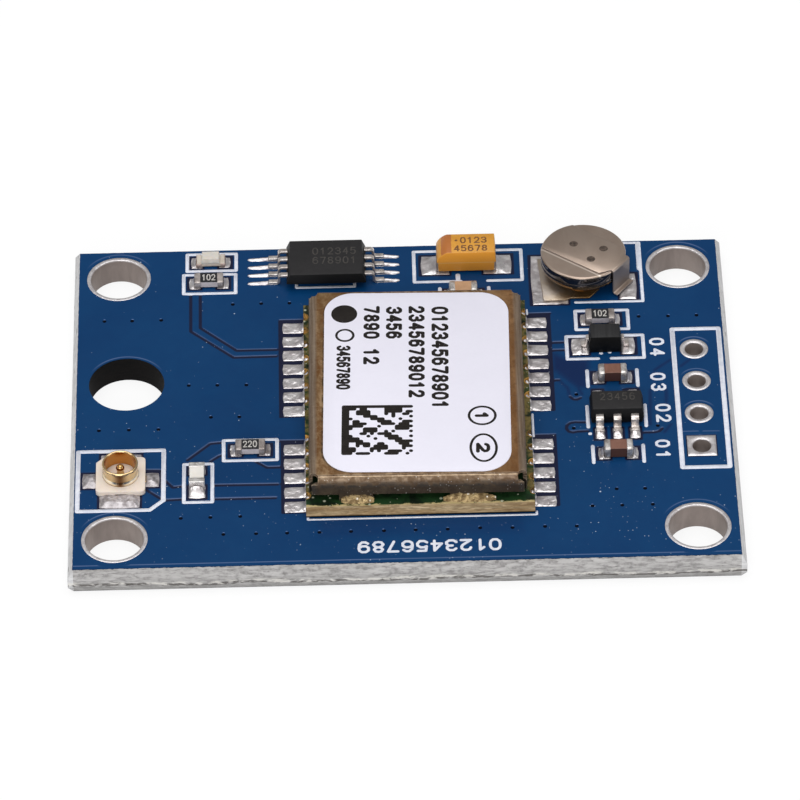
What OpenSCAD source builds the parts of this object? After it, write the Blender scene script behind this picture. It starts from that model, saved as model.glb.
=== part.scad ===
// Satellite positioning receiver board: a scored circuit board that carries a
// shielded receiver, an antenna socket, a backup cell, memory and a regulator.
// X runs along the board to the header holes, Y to the backup cell, Z up.
// The origin is the middle of the board's underside.

/* [Circuit board] */
// Board length along X, at the snapped web
board_w = 36; // [35:0.1:40]
// Board depth along Y, at the snapped web
board_d = 25.4; // [25:0.1:28]
// Board thickness
board_t = 1.6; // [1.2:0.1:2.4]
// How far the score grooves set back the top and bottom faces
score_inset = 0.28; // [0.1:0.01:0.5]
// Depth of each score groove
score_depth = 0.53; // [0.2:0.01:0.58]
// Thickness of a tinned pad
land_t = 0.05; // [0.03:0.01:0.1]
// Thickness of the plating in the holes
plating_t = 0.05; // [0.03:0.01:0.1]
// Thickness of the white print
print_t = 0.03; // [0.02:0.01:0.05]
// Width of the white printed lines
print_line = 0.22; // [0.1:0.01:0.3]

/* [Mounting holes] */
// Hole centre to the two nearest board edges
mount_inset = 2.48; // [2.3:0.01:2.7]
// Mounting hole diameter
mount_hole_d = 3.1; // [2.8:0.1:3.3]
// Width of the plated rim around a mounting hole
mount_rim_w = 0.22; // [0.1:0.01:0.3]
// Diameter of the unplated locating hole
locating_hole_d = 4.12; // [3:0.01:4.6]
// Locating hole centre to the left board edge
locating_inset = 3; // [2.8:0.05:3.6]
// Locating hole centre along Y
locating_y = 1.72; // [1:0.01:2.5]

/* [Header holes] */
// Row of header holes to the right board edge
header_inset = 1.94; // [1.7:0.01:2.2]
// Middle of the header row along Y
header_y = -0.3; // [-0.6:0.01:0.2]
// Distance between header holes
header_pitch = 2.54; // [2:0.01:2.6]
// Header hole diameter
header_hole_d = 1; // [0.8:0.05:1.1]
// Width of the pad around a header hole
header_rim_w = 0.28; // [0.2:0.01:0.35]
// Gap from the pads to the printed box along X
header_box_gap = 0.5; // [0.3:0.01:0.55]
// Gap from the last pads to the printed box along Y
header_box_end = 0.9; // [0.5:0.01:1.2]

/* [Receiver] */
// Receiver centre on the board
receiver_at = [0.8, -1.05]; // [-3:0.01:3]
// Carrier width along X
carrier_w = 12.2; // [12:0.05:12.6]
// Carrier depth along Y
carrier_d = 15.8; // [15.8:0.05:16.2]
// Carrier thickness
carrier_t = 0.8; // [0.6:0.05:1.2]
// Distance between neighbouring receiver pads
pad_pitch = 1.1; // [1:0.01:1.12]
// Distance between the two groups of receiver pads
pad_group_gap = 3; // [2.6:0.05:3.2]
// First receiver pad to the back edge of the carrier
pad_first = 0.95; // [0.8:0.05:1.1]
// Width of a receiver pad
pad_w = 0.8; // [0.6:0.01:0.9]
// How far a receiver pad runs out past the carrier
pad_out = 1.18; // [0.8:0.01:1.4]
// How far a receiver pad runs in under the carrier
pad_under = 0.8; // [0.5:0.01:1]
// Radius of the half holes in the carrier's edges
notch_r = 0.28; // [0.2:0.01:0.32]
// Height that solder climbs the carrier's edge
carrier_fillet = 0.3; // [0.1:0.01:0.5]

/* [Shield can] */
// Can width along X
can_w = 11.6; // [11.4:0.05:11.8]
// Can depth along Y
can_d = 14.8; // [14.4:0.05:15]
// Can offset from the carrier's middle along Y
can_shift = -0.13; // [-0.2:0.01:0.1]
// Turn of the can on the carrier
can_turn = -0.6; // [-1:0.1:1]
// Can height above the carrier
can_h = 1.6; // [1.5:0.05:2]
// Sheet thickness of the can
sheet_t = 0.2; // [0.1:0.01:0.25]
// Outer radius of the can's folds
bend_r = 0.3; // [0.3:0.01:0.5]
// Height of the gap under the can's walls
wall_gap = 0.45; // [0.2:0.01:0.6]
// Width of the can's soldered feet
foot_w = 1.8; // [1:0.05:2]
// Diameter of the relief hole at each corner of the can
relief_d = 0.7; // [0.5:0.01:0.9]
// Width of the open seam at each corner of the can
seam_w = 0.2; // [0.1:0.01:0.3]
// Label width along X
label_w = 10.05; // [9:0.05:10.4]
// Label depth along Y
label_d = 14; // [13:0.05:14]
// Label thickness
label_t = 0.06; // [0.04:0.01:0.12]
// Radius of the label's corners
label_r = 1.6; // [0.5:0.05:2]

/* [Antenna socket] */
// Socket centre to the left board edge
socket_inset = 2.77; // [2.7:0.01:3]
// Socket centre along Y
socket_y = -5.65; // [-5.7:0.01:-5.3]
// Side of the socket's moulded base
socket_base = 2.65; // [2.5:0.01:2.8]
// Height of the socket's moulded base above its pads
socket_base_h = 0.3; // [0.25:0.01:0.4]
// Outside diameter of the socket's contact ring
socket_ring_d = 1.9; // [1.7:0.01:2]
// Height of the socket above its pads
socket_h = 1.2; // [1:0.01:1.4]
// Diameter of the socket's centre contact
socket_pin_d = 0.46; // [0.3:0.01:0.6]

/* [Backup cell] */
// Cell centre on the board
cell_at = [10.25, 9.85]; // [9:0.01:11]
// Cell diameter
cell_d = 4.7; // [4.4:0.05:4.8]
// Height of the crimped can
cell_can_h = 1.05; // [0.8:0.05:1.2]
// Height of the cap under the can
cell_cap_h = 0.35; // [0.2:0.05:0.5]
// Diameter of the cap under the can
cell_cap_d = 3.3; // [3:0.05:3.6]
// Radius of the can's rounded edges
cell_edge_r = 0.22; // [0.1:0.01:0.3]
// Thickness of the welded tabs
cell_tab_t = 0.12; // [0.08:0.01:0.2]
// Width of the tab across the top
cell_tab_w = 2.55; // [2:0.05:2.8]
// Width of the tab's leg and foot
cell_leg_w = 1.6; // [1:0.05:1.8]
// Turn of the top tab about the cell's axis
cell_tab_turn = -35.4; // [-40:0.1:-30]

/* [Memory chip] */
// Memory chip centre
memory_at = [-4, 10.47]; // [-5:0.01:11]
// Moulded length between the two rows of leads
memory_l = 4.4; // [4.2:0.05:4.5]
// Moulded width along the rows
memory_w = 3; // [2.8:0.05:3]
// Span over the two rows of feet
memory_span = 6.4; // [6:0.05:6.6]
// Distance between leads
memory_pitch = 0.65; // [0.6:0.01:0.7]
// Width of a lead
memory_lead_w = 0.25; // [0.2:0.01:0.35]
// How far the tinned strips run past the feet
memory_strip = 1; // [0.3:0.05:1.1]

/* [Tantalum capacitor] */
// Tantalum capacitor centre
tantalum_at = [3.78, 10.88]; // [3:0.01:11]
// Moulded length
tantalum_l = 3.3; // [3:0.05:3.5]
// Moulded width
tantalum_w = 1.6; // [1.4:0.05:1.7]
// Height above the pads
tantalum_h = 1.48; // [1.2:0.01:1.8]
// Size of the bevel at the positive end
tantalum_bevel = 0.6; // [0.3:0.01:0.7]

/* [Regulator] */
// Regulator centre, in X from the power column's line
regulator_at = [0.24, -1.5]; // [-2:0.01:1]
// Moulded length along X
regulator_l = 2.9; // [2.7:0.05:3]
// Moulded width along Y
regulator_w = 1.6; // [1.5:0.05:1.7]
// Span over the two rows of feet
regulator_span = 2.9; // [2.6:0.05:3]
// Distance between leads
regulator_pitch = 0.95; // [0.9:0.01:1]
// Width of a lead
regulator_lead_w = 0.4; // [0.3:0.01:0.5]

/* [Charge diode] */
// Diode centre, in X from the power column's line
diode_at = [-0.14, 4]; // [-0.5:0.01:5]
// Moulded length
diode_l = 1.78; // [1.6:0.01:1.9]
// Moulded width
diode_w = 1.25; // [1.1:0.01:1.3]
// Span over the two feet
diode_span = 2.6; // [2.4:0.01:2.8]
// Width of a lead
diode_lead_w = 0.35; // [0.25:0.01:0.45]

/* [Moulded packages] */
// Height of the moulded packages above the pads
package_h = 1.05; // [0.9:0.01:1.2]
// Gap under the moulded packages
package_gap = 0.1; // [0.05:0.01:0.2]
// Inward lean of the moulded sides over their height
package_lean = 0.12; // [0.05:0.01:0.2]
// Thickness of the formed leads
lead_t = 0.14; // [0.1:0.01:0.16]

/* [Chip resistors] */
// Resistor beside the status light
led_resistor_at = [-10.52, 9.7]; // [-11:0.01:10]
// Resistor on the antenna feed
antenna_resistor_at = [-8.27, -3.66]; // [-9:0.01:-3]
// Resistor that charges the backup cell, in X from the power column's line
charge_resistor_at = [-0.32, 6.04]; // [-1:0.01:7]
// Resistor length
resistor_l = 1.6; // [1.5:0.01:1.7]
// Resistor width
resistor_w = 0.82; // [0.7:0.01:0.9]
// Resistor thickness
resistor_t = 0.44; // [0.3:0.01:0.6]

/* [Chip capacitors] */
// Capacitor behind the receiver
receiver_capacitor_at = [3.55, 8.3]; // [3:0.01:9]
// Capacitor at the regulator's input, in X from the power column's line
input_capacitor_at = [0.15, 1.38]; // [-1:0.01:2]
// Capacitor at the regulator's output, in X from the power column's line
output_capacitor_at = [0.2, -4.55]; // [-5:0.01:1]
// Capacitor length
capacitor_l = 1.56; // [1.4:0.01:1.7]
// Capacitor width
capacitor_w = 0.82; // [0.7:0.01:0.9]
// Capacitor thickness
capacitor_t = 0.7; // [0.5:0.01:0.8]

/* [Antenna inductor] */
// Inductor centre from the socket's centre
inductor_at = [4.09, -0.23]; // [-0.3:0.01:4.3]
// Inductor length along Y
inductor_l = 1.52; // [1.4:0.01:1.7]
// Inductor width along X
inductor_w = 0.84; // [0.7:0.01:0.9]
// Inductor thickness
inductor_t = 0.58; // [0.5:0.01:0.8]

/* [Status light] */
// Status light centre
led_at = [-10.42, 11.4]; // [-11:0.01:11.5]
// Length over the terminals
led_l = 1.6; // [1.5:0.01:1.7]
// Width
led_w = 0.8; // [0.7:0.01:0.85]
// Thickness of the light's base
led_base_t = 0.24; // [0.2:0.01:0.35]
// Length of the lens
led_lens_l = 1.04; // [0.9:0.01:1.1]
// Height of the lens above the base
led_lens_h = 0.32; // [0.2:0.01:0.5]

/* [Chip terminals] */
// Length of a chip's end terminals
cap_band = 0.33; // [0.2:0.01:0.4]
// Thickness of a chip's end terminals
cap_t = 0.04; // [0.02:0.01:0.06]
// How far a chip's pads run out past its ends
chip_pad_out = 0.3; // [0.2:0.01:0.35]

/* [Hidden] */
$fn = 48;
top = board_t;
seat = board_t + land_t;
over = 1;
header_count = 4;
header_x = board_w / 2 - header_inset;
mount_x = board_w / 2 - mount_inset;
mount_y = board_d / 2 - mount_inset;
header_pad_d = header_hole_d + 2 * header_rim_w;
socket_x = -board_w / 2 + socket_inset;
locating_x = -board_w / 2 + locating_inset;

// Receiver pads, measured from the back edge of the carrier
back_pads = 7;
front_pads = 5;
pad_steps = concat(
    [for (i = [0 : back_pads - 1]) pad_first + i * pad_pitch],
    [for (i = [0 : front_pads - 1]) pad_first + (back_pads - 1 + i) * pad_pitch + pad_group_gap]);
carrier_top = seat + carrier_t;
can_foot_left = 3.3;
can_foot_right = 2.6;
can_foot_step = 4.6;
can_room = can_h - sheet_t;
can_side_shift = -0.05;
label_shift = [-0.015, 0.05];
label_turn = -0.7;
socket_at = [socket_x, socket_y];
inductor_spot = socket_at + inductor_at;

// Power column: its line lies at a share of the strip between the receiver and the right edge
power_share = 0.4;
carrier_right = receiver_at.x + carrier_w / 2;
power_line = [carrier_right + power_share * (board_w / 2 - carrier_right), 0];
charge_resistor_spot = power_line + charge_resistor_at;
diode_spot = power_line + diode_at;
input_capacitor_spot = power_line + input_capacitor_at;
output_capacitor_spot = power_line + output_capacitor_at;
regulator_spot = power_line + regulator_at;

// Parts under the shield: footprint, height and place from the receiver's middle
chip_size = [7, 7, 0.85];
chip_spot = [0.6, 2.1];
crystal_size = [3.2, 2.5, 0.7];
crystal_spot = [-3.2, -4];
clock_size = [3.2, 1.5, 0.75];
clock_spot = [2.9, -5.1];
filter_size = [1.4, 1.1, 0.5];
filter_spot = [0.2, -4.2];
passive_size = [1, 0.5, 0.45];
passive_spot = [-4.2, 5.2];
passive_step = 1.3;
passive_count = 6;

// Cell heights from the board's top
cell_bottom = seat + cell_tab_t;
cell_can_z = cell_bottom + cell_cap_h;
cell_top = cell_can_z + cell_can_h;
cell_fold = cell_d / 2 + cell_tab_t;
cell_foot_l = 0.3;
gasket_w = 0.16;

// Formed leads leave the packages at the parting line
parting = land_t + package_gap + (package_h - package_gap) * 0.45;
led_lens_lean = 0.06;
led_band = 0.25;
tantalum_terminal_t = 0.1;
tantalum_terminal_w = 1.2;
tantalum_foot_l = 0.8;
tantalum_parting = 0.5;
fillet_steps = 4;

// Shared shapes

// Moves a part to its place on the board's top face
module on_board(place, turn = 0)
    translate([place.x, place.y, top]) rotate([0, 0, turn]) children();

// Moves a part to its place on the receiver's carrier
module on_carrier(spot = [0, 0])
    translate([receiver_at.x + spot.x, receiver_at.y + spot.y, carrier_top]) children();

// Moves a part to its place on the can, which sits slightly turned
module on_can()
    on_carrier([can_side_shift, can_shift]) rotate([0, 0, can_turn]) children();

// Block centred in plan with its underside at z
module block(l, w, h, z = 0)
    translate([-l / 2, -w / 2, z]) cube([l, w, h]);

// Profile in X and Z, drawn across the width w
module across(w)
    rotate([90, 0, 0]) linear_extrude(w, center = true) children();

// Profile in Y and Z, drawn along the length l
module along(l)
    rotate([90, 0, 90]) linear_extrude(l, center = true) children();

// Rectangle with round corners
module round_rect(l, w, r) {
    square([l - 2 * r, w], center = true);
    square([l, w - 2 * r], center = true);
    for (x = [-1, 1], y = [-1, 1])
        translate([x * (l / 2 - r), y * (w / 2 - r)]) circle(r);
}

// Section with an upright band between z1 and z2 and leaning sides above and below it
function leaning_section(half, z0, z1, z2, z3, lean) = [
    [-half + lean, z0], [half - lean, z0], [half, z1], [half, z2],
    [half - lean, z3], [-half + lean, z3], [-half, z2], [-half, z1]];

// Moulded package whose upright band meets its leads
module moulded_body(l, w) {
    z1 = parting - lead_t / 2;
    z2 = parting + lead_t / 2;
    z0 = land_t + package_gap;
    z3 = land_t + package_h;
    intersection() {
        across(w) polygon(leaning_section(l / 2, z0, z1, z2, z3, package_lean));
        along(l) polygon(leaning_section(w / 2, z0, z1, z2, z3, package_lean));
    }
}

// Gull-wing lead from a package side at x = from to a foot that ends at x = to
module formed_lead(from, to, w) {
    reach = to - from;
    knee = from + 0.35 * reach;
    heel = from + 0.5 * reach;
    z_in = parting - lead_t / 2;
    across(w) polygon([
        [from, z_in], [from, z_in + lead_t], [knee, z_in + lead_t], [heel, land_t + lead_t],
        [to, land_t + lead_t], [to, land_t], [heel - lead_t / 2, land_t], [knee - lead_t / 2, z_in]]);
}

// Tinned pad from x = inner to x = outer with a hollow fillet against a face at x = wall
module solder_joint(inner, wall, outer, w, rise) {
    run = outer - wall;
    across(w) polygon(concat(
        [[inner, 0], [outer, 0], [outer, land_t]],
        [for (i = [1 : fillet_steps])
            let (t = i / fillet_steps) [outer - t * run, land_t + rise * t * t]],
        [[wall, land_t], [inner, land_t]]));
}

// The same joint at both ends of a part
module joint_pair(inner, wall, outer, w, rise)
    for (side = [0, 180]) rotate([0, 0, side]) solder_joint(inner, wall, outer, w, rise);

// Core of a two-terminal chip, inside its end terminals
module chip_core(l, w, t)
    block(l - 2 * cap_t, w - 2 * cap_t, t - 2 * cap_t, land_t + cap_t);

// End terminals that wrap the ends of a chip's core
module chip_caps(l, w, t)
    difference() {
        for (side = [-1, 1])
            translate([side * (l - cap_band) / 2, 0, 0]) block(cap_band, w, t, land_t);
        chip_core(l, w, t);
    }

// Overglaze between a resistor's terminals
module chip_coat(l, w, t)
    block(l - 2 * cap_band, w - 2 * cap_t, cap_t, land_t + t - cap_t);

module chip_joints(l, w, t)
    joint_pair(l / 2 - cap_band, l / 2, l / 2 + chip_pad_out, w, 0.6 * t);

// Envelope of a plated hole: barrel and flush rims on both faces
module plated_envelope(hole_d, rim_w, square_rim) {
    rim = hole_d + 2 * rim_w;
    cylinder(d = hole_d + 2 * plating_t, h = board_t);
    for (z = [0, board_t - plating_t])
        if (square_rim) block(rim, rim, plating_t, z);
        else translate([0, 0, z]) cylinder(d = rim, h = plating_t);
}

module plated_hole(hole_d, rim_w, square_rim = false)
    difference() {
        plated_envelope(hole_d, rim_w, square_rim);
        translate([0, 0, -over]) cylinder(d = hole_d, h = board_t + 2 * over);
    }

module at_mounting_holes()
    for (x = [-1, 1], y = [-1, 1]) translate([x * mount_x, y * mount_y, 0]) children();

module at_header_hole(i)
    translate([header_x, header_y + ((header_count - 1) / 2 - i) * header_pitch, 0]) children();

// Both rows of receiver pads, with X pointing out of the carrier
module at_receiver_pads()
    for (side = [0, 1], step = pad_steps)
        translate([receiver_at.x, receiver_at.y + carrier_d / 2 - step, 0])
            mirror([side, 0, 0]) translate([carrier_w / 2, 0, 0]) children();

// Printed shapes

module print_bar(place, size)
    translate([place.x, place.y, top]) block(size.x, size.y, print_t);

// Printed box, open along its near side over a gap
module print_box(place, size, gap_x = 0, gap_w = 0)
    translate([place.x, place.y, top]) difference() {
        block(size.x, size.y, print_t);
        block(size.x - 2 * print_line, size.y - 2 * print_line, print_t + 2 * over, -over);
        if (gap_w > 0)
            translate([gap_x, -size.y / 2, -over]) block(gap_w, 3 * print_line, print_t + 2 * over);
    }

module print_dot(place)
    translate([place.x, place.y, top]) cylinder(d = dot_d, h = print_t);

// The pieces

module circuit_board() color("#1A3F6E")
    difference() {
        intersection() {
            across(board_d) polygon(leaning_section(
                board_w / 2, 0, score_depth, board_t - score_depth, board_t, score_inset));
            along(board_w) polygon(leaning_section(
                board_d / 2, 0, score_depth, board_t - score_depth, board_t, score_inset));
        }
        at_mounting_holes() plated_envelope(mount_hole_d, mount_rim_w, false);
        for (i = [0 : header_count - 1])
            at_header_hole(i) plated_envelope(header_hole_d, header_rim_w, i == header_count - 1);
        translate([locating_x, locating_y, -over])
            cylinder(d = locating_hole_d, h = board_t + 2 * over);
    }

module mounting_hole_plating() color("#A9A6A2")
    at_mounting_holes() plated_hole(mount_hole_d, mount_rim_w);

module header_hole_plating() color("#B9B5AE")
    for (i = [0 : header_count - 1])
        at_header_hole(i) plated_hole(header_hole_d, header_rim_w, i == header_count - 1);

// White print: part outlines, polarity bars and dots.
// A box has a size and a shift from its part, and a gap along its near side.
dot_d = 0.26;
chip_box = [3.1, 1.84];
led_box = [2.94, 1.72];
led_box_shift = [0.05, 0.03];
led_resistor_box_shift = [0.04, -0.07];
charge_resistor_box_shift = [0.1, -0.04];
inductor_box = [1.74, 3.16];
inductor_box_shift = [0.06, -0.23];
diode_box = [4.52, 2.18];
diode_box_shift = [0.02, -0.16];
diode_box_gap = 0.6;
diode_dot_shift = [0, -0.65];
diode_dot_step = 0.48;
tantalum_box = [6.28, 2.84];
tantalum_box_shift = [0.1, -0.2];
tantalum_box_gap = 1.44;
tantalum_box_gap_x = 0.25;
tantalum_bar = [0.3, 0.7];
tantalum_bar_shift = [-0.48, -1.2];
capacitor_bar_l = 1.5;
capacitor_bar_shift = [1.36, -0.06];
regulator_bar_l = 1.86;
regulator_bar_shift = [1.57, -0.17];
regulator_dot_shift = [-1.5, -1.5];
memory_bar_l = 3.43;
memory_bar_shift = [-0.05, -1.28];
cell_bar = [0.32, 2.4];
cell_bar_shift = [3.17, 1.3];
cell_edge_l = 2.62;
cell_edge_shift = [3.22, -1.2];
cell_back_l = 2.3;
cell_back_shift = [2.18, 2.4];
cell_line_l = 3.9;
cell_line_shift = [1.38, -2.4];
header_box_shift = [0.12, 0];
socket_box = [4.84, 4.8];
socket_box_cut = 0.8;
socket_box_shift = [-2.42, 2.25];
receiver_line_w = 0.15;
receiver_line_over = 0.05;
receiver_line_shift = 0.08;
receiver_line_gap = 0.08;
receiver_side_l = 1.85;
receiver_side_shift = -1.18;
print_margin = 0.04;

// Outline with one cut corner, from its back left corner
module socket_outline(inset) {
    l = socket_box.x - inset;
    w = socket_box.y - inset;
    polygon([[inset, -w], [l - socket_box_cut, -w], [l, socket_box_cut - w], [l, -inset], [inset, -inset]]);
}

module silkscreen() color("#E4E6EE") {
    print_box(led_at + led_box_shift, led_box);
    print_box(led_resistor_at + led_resistor_box_shift, chip_box);
    print_box(antenna_resistor_at, chip_box);
    print_box(charge_resistor_spot + charge_resistor_box_shift, chip_box);
    print_box(inductor_spot + inductor_box_shift, inductor_box);
    print_box(diode_spot + diode_box_shift, diode_box, 0, diode_box_gap);
    for (i = [-0.5, 0.5]) print_dot(diode_spot + diode_dot_shift + [i * diode_dot_step, 0]);
    print_box(tantalum_at + tantalum_box_shift, tantalum_box, tantalum_box_gap_x, tantalum_box_gap);
    print_bar(tantalum_at + tantalum_bar_shift, tantalum_bar);
    for (place = [receiver_capacitor_at, input_capacitor_spot, output_capacitor_spot], side = [-1, 1])
        print_bar(place + [side * capacitor_bar_shift.x, capacitor_bar_shift.y], [print_line, capacitor_bar_l]);
    for (side = [-1, 1])
        print_bar(regulator_spot + [side * regulator_bar_shift.x, regulator_bar_shift.y],
            [print_line, regulator_bar_l]);
    print_dot(regulator_spot + regulator_dot_shift);
    print_bar(memory_at + memory_bar_shift, [memory_bar_l, print_line]);
    print_bar(cell_at + cell_bar_shift, cell_bar);
    print_bar(cell_at + cell_edge_shift, [print_line, cell_edge_l]);
    print_bar(cell_at + cell_back_shift, [cell_back_l, print_line]);
    print_bar(cell_at + cell_line_shift, [cell_line_l, print_line]);
    print_box([header_x, header_y] + header_box_shift, [
        header_pad_d + 2 * header_box_gap + 2 * print_line,
        (header_count - 1) * header_pitch + header_pad_d + 2 * header_box_end]);
    translate([socket_at.x + socket_box_shift.x, socket_at.y + socket_box_shift.y, top])
        linear_extrude(print_t) difference() {
            socket_outline(0);
            socket_outline(print_line);
        }
    print_bar(receiver_at + [receiver_line_shift, -carrier_d / 2 - receiver_line_gap - receiver_line_w / 2],
        [carrier_w + receiver_line_over, receiver_line_w]);
    print_bar(receiver_at + [carrier_w / 2 + print_margin + receiver_line_w / 2, receiver_side_shift],
        [receiver_line_w, receiver_side_l]);
}

// Pads of the antenna socket and backup cell: shift from the part's centre and size
socket_side_pad = [0.72, 1.1];
socket_side_pad_shift = [1.74, -0.12];
socket_front_pad = [2.2, 0.96];
socket_front_pad_shift = [-0.05, -1.75];
socket_back_pad = [2.15, 0.46];
socket_back_pad_shift = [0, 1.66];
cell_left_pad = [2, 3.96];
cell_left_pad_shift = [-1.91, -0.5];
cell_right_pad = [0.96, 2.08];
cell_right_pad_shift = [2.43, -1.15];
// Pads of the leaded parts: length under the foot and past its tip
tantalum_pad_under = 0.8;
tantalum_pad_out = 0.8;
tantalum_fillet = 0.3;
diode_pad_under = 0.4;
diode_pad_out = 0.55;
diode_pad_shift = [0, -0.12];
memory_pad_under = 0.5;
regulator_pad_under = 0.35;
regulator_pad_out = 0.45;
pad_side = 0.04;
lead_rise = 0.9 * lead_t;

module pad_plate(place, size)
    translate([place.x, place.y, top]) block(size.x, size.y, land_t);

// Joints at both ends of a part whose terminals span l
module lead_joints(l, under, out, w, rise)
    joint_pair(l / 2 - under, l / 2, l / 2 + out, w + 2 * pad_side, rise);

module regulator_joint()
    solder_joint(regulator_span / 2 - regulator_pad_under, regulator_span / 2,
        regulator_span / 2 + regulator_pad_out, regulator_lead_w + 2 * pad_side, lead_rise);

module component_solder() color("#C2BFC0") {
    for (place = [led_resistor_at, antenna_resistor_at, charge_resistor_spot])
        on_board(place) chip_joints(resistor_l, resistor_w, resistor_t);
    for (place = [receiver_capacitor_at, input_capacitor_spot, output_capacitor_spot])
        on_board(place) chip_joints(capacitor_l, capacitor_w, capacitor_t);
    on_board(inductor_spot, 90) chip_joints(inductor_l, inductor_w, inductor_t);
    on_board(led_at) chip_joints(led_l, led_w, led_base_t);
    on_board(tantalum_at)
        lead_joints(tantalum_l, tantalum_pad_under, tantalum_pad_out, tantalum_w, tantalum_fillet);
    on_board(diode_spot + diode_pad_shift)
        lead_joints(diode_span, diode_pad_under, diode_pad_out, diode_w, lead_rise);
    for (i = [-1.5 : 1.5])
        on_board(memory_at + [0, i * memory_pitch])
            lead_joints(memory_span, memory_pad_under, memory_strip, memory_lead_w, lead_rise);
    for (i = [-1, 0, 1]) on_board(regulator_spot + [i * regulator_pitch, 0], -90) regulator_joint();
    for (i = [-1, 1]) on_board(regulator_spot + [i * regulator_pitch, 0], 90) regulator_joint();
    for (side = [-1, 1])
        pad_plate(socket_at + [side * socket_side_pad_shift.x, socket_side_pad_shift.y], socket_side_pad);
    pad_plate(socket_at + socket_front_pad_shift, socket_front_pad);
    pad_plate(socket_at + socket_back_pad_shift, socket_back_pad);
    pad_plate(cell_at + cell_left_pad_shift, cell_left_pad);
    pad_plate(cell_at + cell_right_pad_shift, cell_right_pad);
}

module receiver_solder() color("#C8C6C8")
    at_receiver_pads() translate([0, 0, top])
        solder_joint(-pad_under, 0, pad_out, pad_w, carrier_fillet);

module receiver_carrier() color("#2A4A2C")
    difference() {
        translate([receiver_at.x, receiver_at.y, 0]) block(carrier_w, carrier_d, carrier_t, seat);
        at_receiver_pads() translate([0, 0, seat - over]) cylinder(r = notch_r, h = carrier_t + 2 * over);
    }

module receiver_castellations() color("#C8913A")
    at_receiver_pads() translate([0, 0, seat]) linear_extrude(carrier_t) intersection() {
        difference() {
            circle(notch_r);
            circle(notch_r - plating_t);
        }
        translate([-2 * notch_r, -notch_r]) square(2 * notch_r);
    }

// Section of a folded sheet cover with round folds at the top
module folded_section(l, h, r) {
    translate([-l / 2, 0]) square([l, h - r]);
    translate([-l / 2 + r, 0]) square([l - 2 * r, h]);
    for (side = [-1, 1]) translate([side * (l / 2 - r), h - r]) circle(r);
}

module folded_form(l, w, h, r)
    intersection() {
        across(w) folded_section(l, h, r);
        along(l) folded_section(w, h, r);
    }

// Blocks over the can's soldered feet, as deep as each wall
module can_feet(depth) {
    for (x = [-can_foot_left, can_foot_right], side = [-1, 1])
        translate([x, side * (can_d - depth) / 2, 0]) block(foot_w, depth, wall_gap);
    for (i = [-1, 0, 1], side = [-1, 1])
        translate([side * (can_w - depth) / 2, i * can_foot_step, 0]) block(depth, foot_w, wall_gap);
}

module shield_can() color("#8A6E4C")
    on_can() difference() {
        folded_form(can_w, can_d, can_h, bend_r);
        translate([0, 0, -over])
            folded_form(can_w - 2 * sheet_t, can_d - 2 * sheet_t, can_h - sheet_t + over, bend_r - sheet_t);
        difference() {
            block(can_w + over, can_d + over, wall_gap + over, -over);
            can_feet(2 * sheet_t);
        }
        for (x = [-1, 1], y = [-1, 1]) translate([x * can_w / 2, y * can_d / 2, 0]) {
            rotate([0, 0, x * y * 45]) block(3 * bend_r, seam_w, can_h - bend_r + over, -over);
            translate([-x * bend_r / 2, -y * bend_r / 2, can_h - 1.4 * bend_r])
                cylinder(d = relief_d, h = can_h);
        }
    }

// Solder beads along the outside of the can's front and back feet
shield_fillet = 0.3;
module shield_solder() color("#B9A98C")
    on_can() for (x = [-can_foot_left, can_foot_right], side = [-1, 1])
        translate([x, side * can_d / 2, 0]) rotate([0, 0, side * 90])
            across(foot_w) polygon([[0, 0], [shield_fillet, 0], [0.35 * shield_fillet, 0.35 * shield_fillet],
                [0, shield_fillet]]);

module receiver_label() color("#E6E4F0")
    on_can() translate([label_shift.x, label_shift.y, can_h]) rotate([0, 0, label_turn])
        linear_extrude(label_t) round_rect(label_w, label_d, label_r);

module carrier_part(size, spot)
    on_carrier(spot) block(size.x, size.y, min(size.z, can_room));

module positioning_chip() color("#2B2B2D") carrier_part(chip_size, chip_spot);
module main_crystal() color("#C9C6BE") carrier_part(crystal_size, crystal_spot);
module clock_crystal() color("#D0CCC2") carrier_part(clock_size, clock_spot);
module band_filter() color("#CDB98A") carrier_part(filter_size, filter_spot);
module receiver_passives() color("#A8886A")
    for (i = [0 : passive_count - 1])
        carrier_part(passive_size, passive_spot - [0, i * passive_step]);

// Antenna socket: ring with two ground lugs, centre contact with its tail, moulded base
ring_wall = 0.1;
ring_foot = 0.22;
ring_bead_r = 0.065;
ring_bead_z = 0.14;
pin_h = 0.864;
lug_t = 0.1;
lug_w = 0.9;
lug_out = 0.42;
tail_w = 0.6;
base_corner = 0.25;
base_cut = 0.55;

module at_socket()
    translate([socket_at.x, socket_at.y, seat]) children();

module socket_ring() {
    r = socket_ring_d / 2;
    rotate_extrude() {
        translate([r - ring_wall, ring_foot]) square([ring_wall, socket_h - ring_foot - ring_bead_r]);
        for (z = [socket_base_h + ring_bead_z, socket_h - ring_bead_r])
            translate([r - ring_wall / 2, z]) circle(ring_bead_r);
    }
    for (side = [-1, 1]) {
        translate([side * (r - ring_wall / 2), 0, 0]) block(ring_wall, lug_w / 2, ring_foot + ring_wall);
        translate([side * (r - ring_wall + socket_base / 2 + lug_out) / 2, 0, 0])
            block(socket_base / 2 + lug_out - r + ring_wall, lug_w, lug_t);
    }
}

module socket_contact() {
    r = socket_pin_d / 2;
    cylinder(r = r, h = pin_h - r);
    translate([0, 0, pin_h - r]) sphere(r);
    translate([-tail_w / 2, -socket_base / 2 - lug_out, 0]) cube([tail_w, socket_base / 2 + lug_out, lug_t]);
}

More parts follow.
